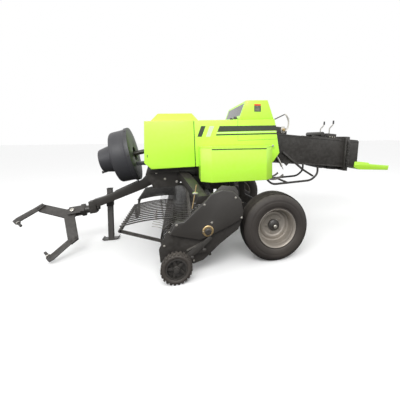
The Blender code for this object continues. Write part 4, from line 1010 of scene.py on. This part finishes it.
def wind_guard():
    """The tube over the pickup mouth with its fingers."""
    x, z = 1.58, 0.50
    pivot = joint_place("windguard_swing")
    y = SHEET_INSIDE - 0.03
    path = [P(x, -y, z), P(x, -0.135, z), P(x, -0.095, z - 0.17), P(x, 0.095, z - 0.17), P(x, 0.135, z),
            P(x, y, z)]
    shapes = [tube(eased(path, 0.03), 0.0165, 16)]
    for side in (-1, 1):
        shapes.append(tube([P(x, side * (y - 0.006), z), Vector((pivot.x, side * (y - 0.006), pivot.z))], 0,
                           flat=(0.006, 0.015)))
        boss = lathe([(0, y - 0.010), (0.016, y - 0.010), (0.016, SHEET_INSIDE - 0.0005),
                      (0, SHEET_INSIDE - 0.0005)], 24)
        shapes.append(placed(boss, mirrored(side), Matrix.Translation((pivot.x, 0, pivot.z))))
    finger = tube(eased([P(x + 0.02, 0, z + 0.014), P(1.42, 0, 0.548), P(1.28, 0, 0.560),
                         P(1.10, 0, 0.561)], 0.08, 4), 0.0075, 8)
    for side in (-1, 1):
        shapes.append(repeated(finger, 12, BLACK, start=(0, side * 2 * BAND_PITCH, 0),
                               step=(0, side * BAND_PITCH, 0)))
    piece = finished(joined(shapes), "wind_guard_rods", "wind_guard", BLACK)
    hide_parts("wind_guard")


def lift_gear():
    """The float rods between the outriggers and the pickup, left with the frame."""
    for suffix, side in (("left", 1), ("right", -1)):
        y = side * 1.045
        rod = tube([P(0.86, y, 0.90), P(0.905, y, 0.66)], 0.006, 12)
        finished(rod, f"float_rod_{suffix}", "frame", GOLD)
        nut = lathe(rounded_profile([(0, -0.008), (0.030, -0.008), (0.030, 0.004), (0.012, 0.012),
                                     (0, 0.012)], 0.002, 2), 24, "X")
        finished(placed(nut, Matrix.Rotation(-math.pi / 2, 4, "Y"), move_to(0.874, y, 0.815)),
                 f"float_nut_{suffix}",
                 "frame", ZINC)


# ---- stage ---------------------------------------------------------------------------------
def area(name, place, aim, size, power, colour=(1, 1, 1)):
    """A soft light aimed at a place."""
    light = bpy.data.lights.new(name, "AREA")
    light.shape = "RECTANGLE"
    light.size, light.size_y = size
    light.energy = power
    light.color = colour
    lamp = bpy.data.objects.new(name, light)
    lamp.location = place
    lamp.rotation_euler = (Vector(aim) - Vector(place)).to_track_quat("-Z", "Y").to_euler()
    bpy.context.scene.collection.objects.link(lamp)


def stage():
    """The floor, the sky and the soft lights."""
    bm = bmesh.new()
    bmesh.ops.create_grid(bm, x_segments=1, y_segments=1, size=60)
    floor = bpy.data.objects.new("floor", mesh_from(bm))
    pale = bpy.data.materials.new("pale_floor")
    pale.use_nodes = True
    shader = pale.node_tree.nodes["Principled BSDF"]
    shader.inputs["Base Color"].default_value = (0.93, 0.93, 0.93, 1)
    shader.inputs["Roughness"].default_value = 0.9
    shader.inputs["Specular IOR Level"].default_value = 0.1
    floor.data.materials.append(pale)
    floor.location.z = -0.0005
    bpy.context.scene.collection.objects.link(floor)
    world = bpy.data.worlds.new("studio")
    bpy.context.scene.world = world
    world.use_nodes = True
    tree = world.node_tree
    height = tree.nodes.new("ShaderNodeSeparateXYZ")
    wire(tree, tree.nodes.new("ShaderNodeTexCoord").outputs["Generated"], height.inputs[0])
    sky = tree.nodes.new("ShaderNodeMapRange")
    for key, value in (("From Min", -0.10), ("From Max", -0.05), ("To Min", 0.10), ("To Max", 1.0)):
        sky.inputs[key].default_value = value
    wire(tree, height.outputs["Z"], sky.inputs["Value"])
    wire(tree, sky.outputs["Result"], tree.nodes["Background"].inputs["Strength"])
    tree.nodes["Background"].inputs["Color"].default_value = (1, 1, 1, 1)
    floor.visible_diffuse = False
    floor.visible_glossy = False
    area("key", (1.5, 5.5, 5.0), (0, 0, 0.8), (5, 3), 330)
    area("front_fill", (6.5, 2.5, 2.5), (0.5, 0, 0.8), (3, 3), 60)
    area("back_fill", (-6.5, 1.5, 3.0), (0, 0, 0.9), (3, 3), 40)
    bpy.context.scene.view_settings.view_transform = "Standard"


def camera():
    """The eye, low and to the left of the machine."""
    yaw, pitch, roll = -0.2465, 0.0487, -0.0075
    look = Vector((math.sin(yaw) * math.cos(pitch), -math.cos(yaw) * math.cos(pitch), -math.sin(pitch)))
    right = look.cross(Vector((0, 0, 1))).normalized()
    up = right.cross(look)
    side = right * math.cos(roll) + up * math.sin(roll)
    above = up * math.cos(roll) - right * math.sin(roll)
    turn = Matrix((side, above, -look)).transposed()
    lens = bpy.data.cameras.new("camera")
    lens.sensor_width = 36
    lens.lens = 23.0697
    lens.shift_x = -0.110025
    lens.shift_y = -0.126825
    eye = bpy.data.objects.new("camera", lens)
    eye.matrix_world = move_to(1.0183, 3.655, 1.3809) @ turn.to_4x4()
    bpy.context.scene.collection.objects.link(eye)
    bpy.context.scene.camera = eye


# ---- everything ----------------------------------------------------------------------------
camera()
stage()
for suffix, side in (("left", 1), ("right", -1)):
    road_wheel(suffix, side)
    gauge_wheel(suffix, side)
covers()
drive()
running_gear()
jack()
chamber()
needles()
knotters()
pickup_sides()
bands()
reel()
auger()
wind_guard()
lift_gear()
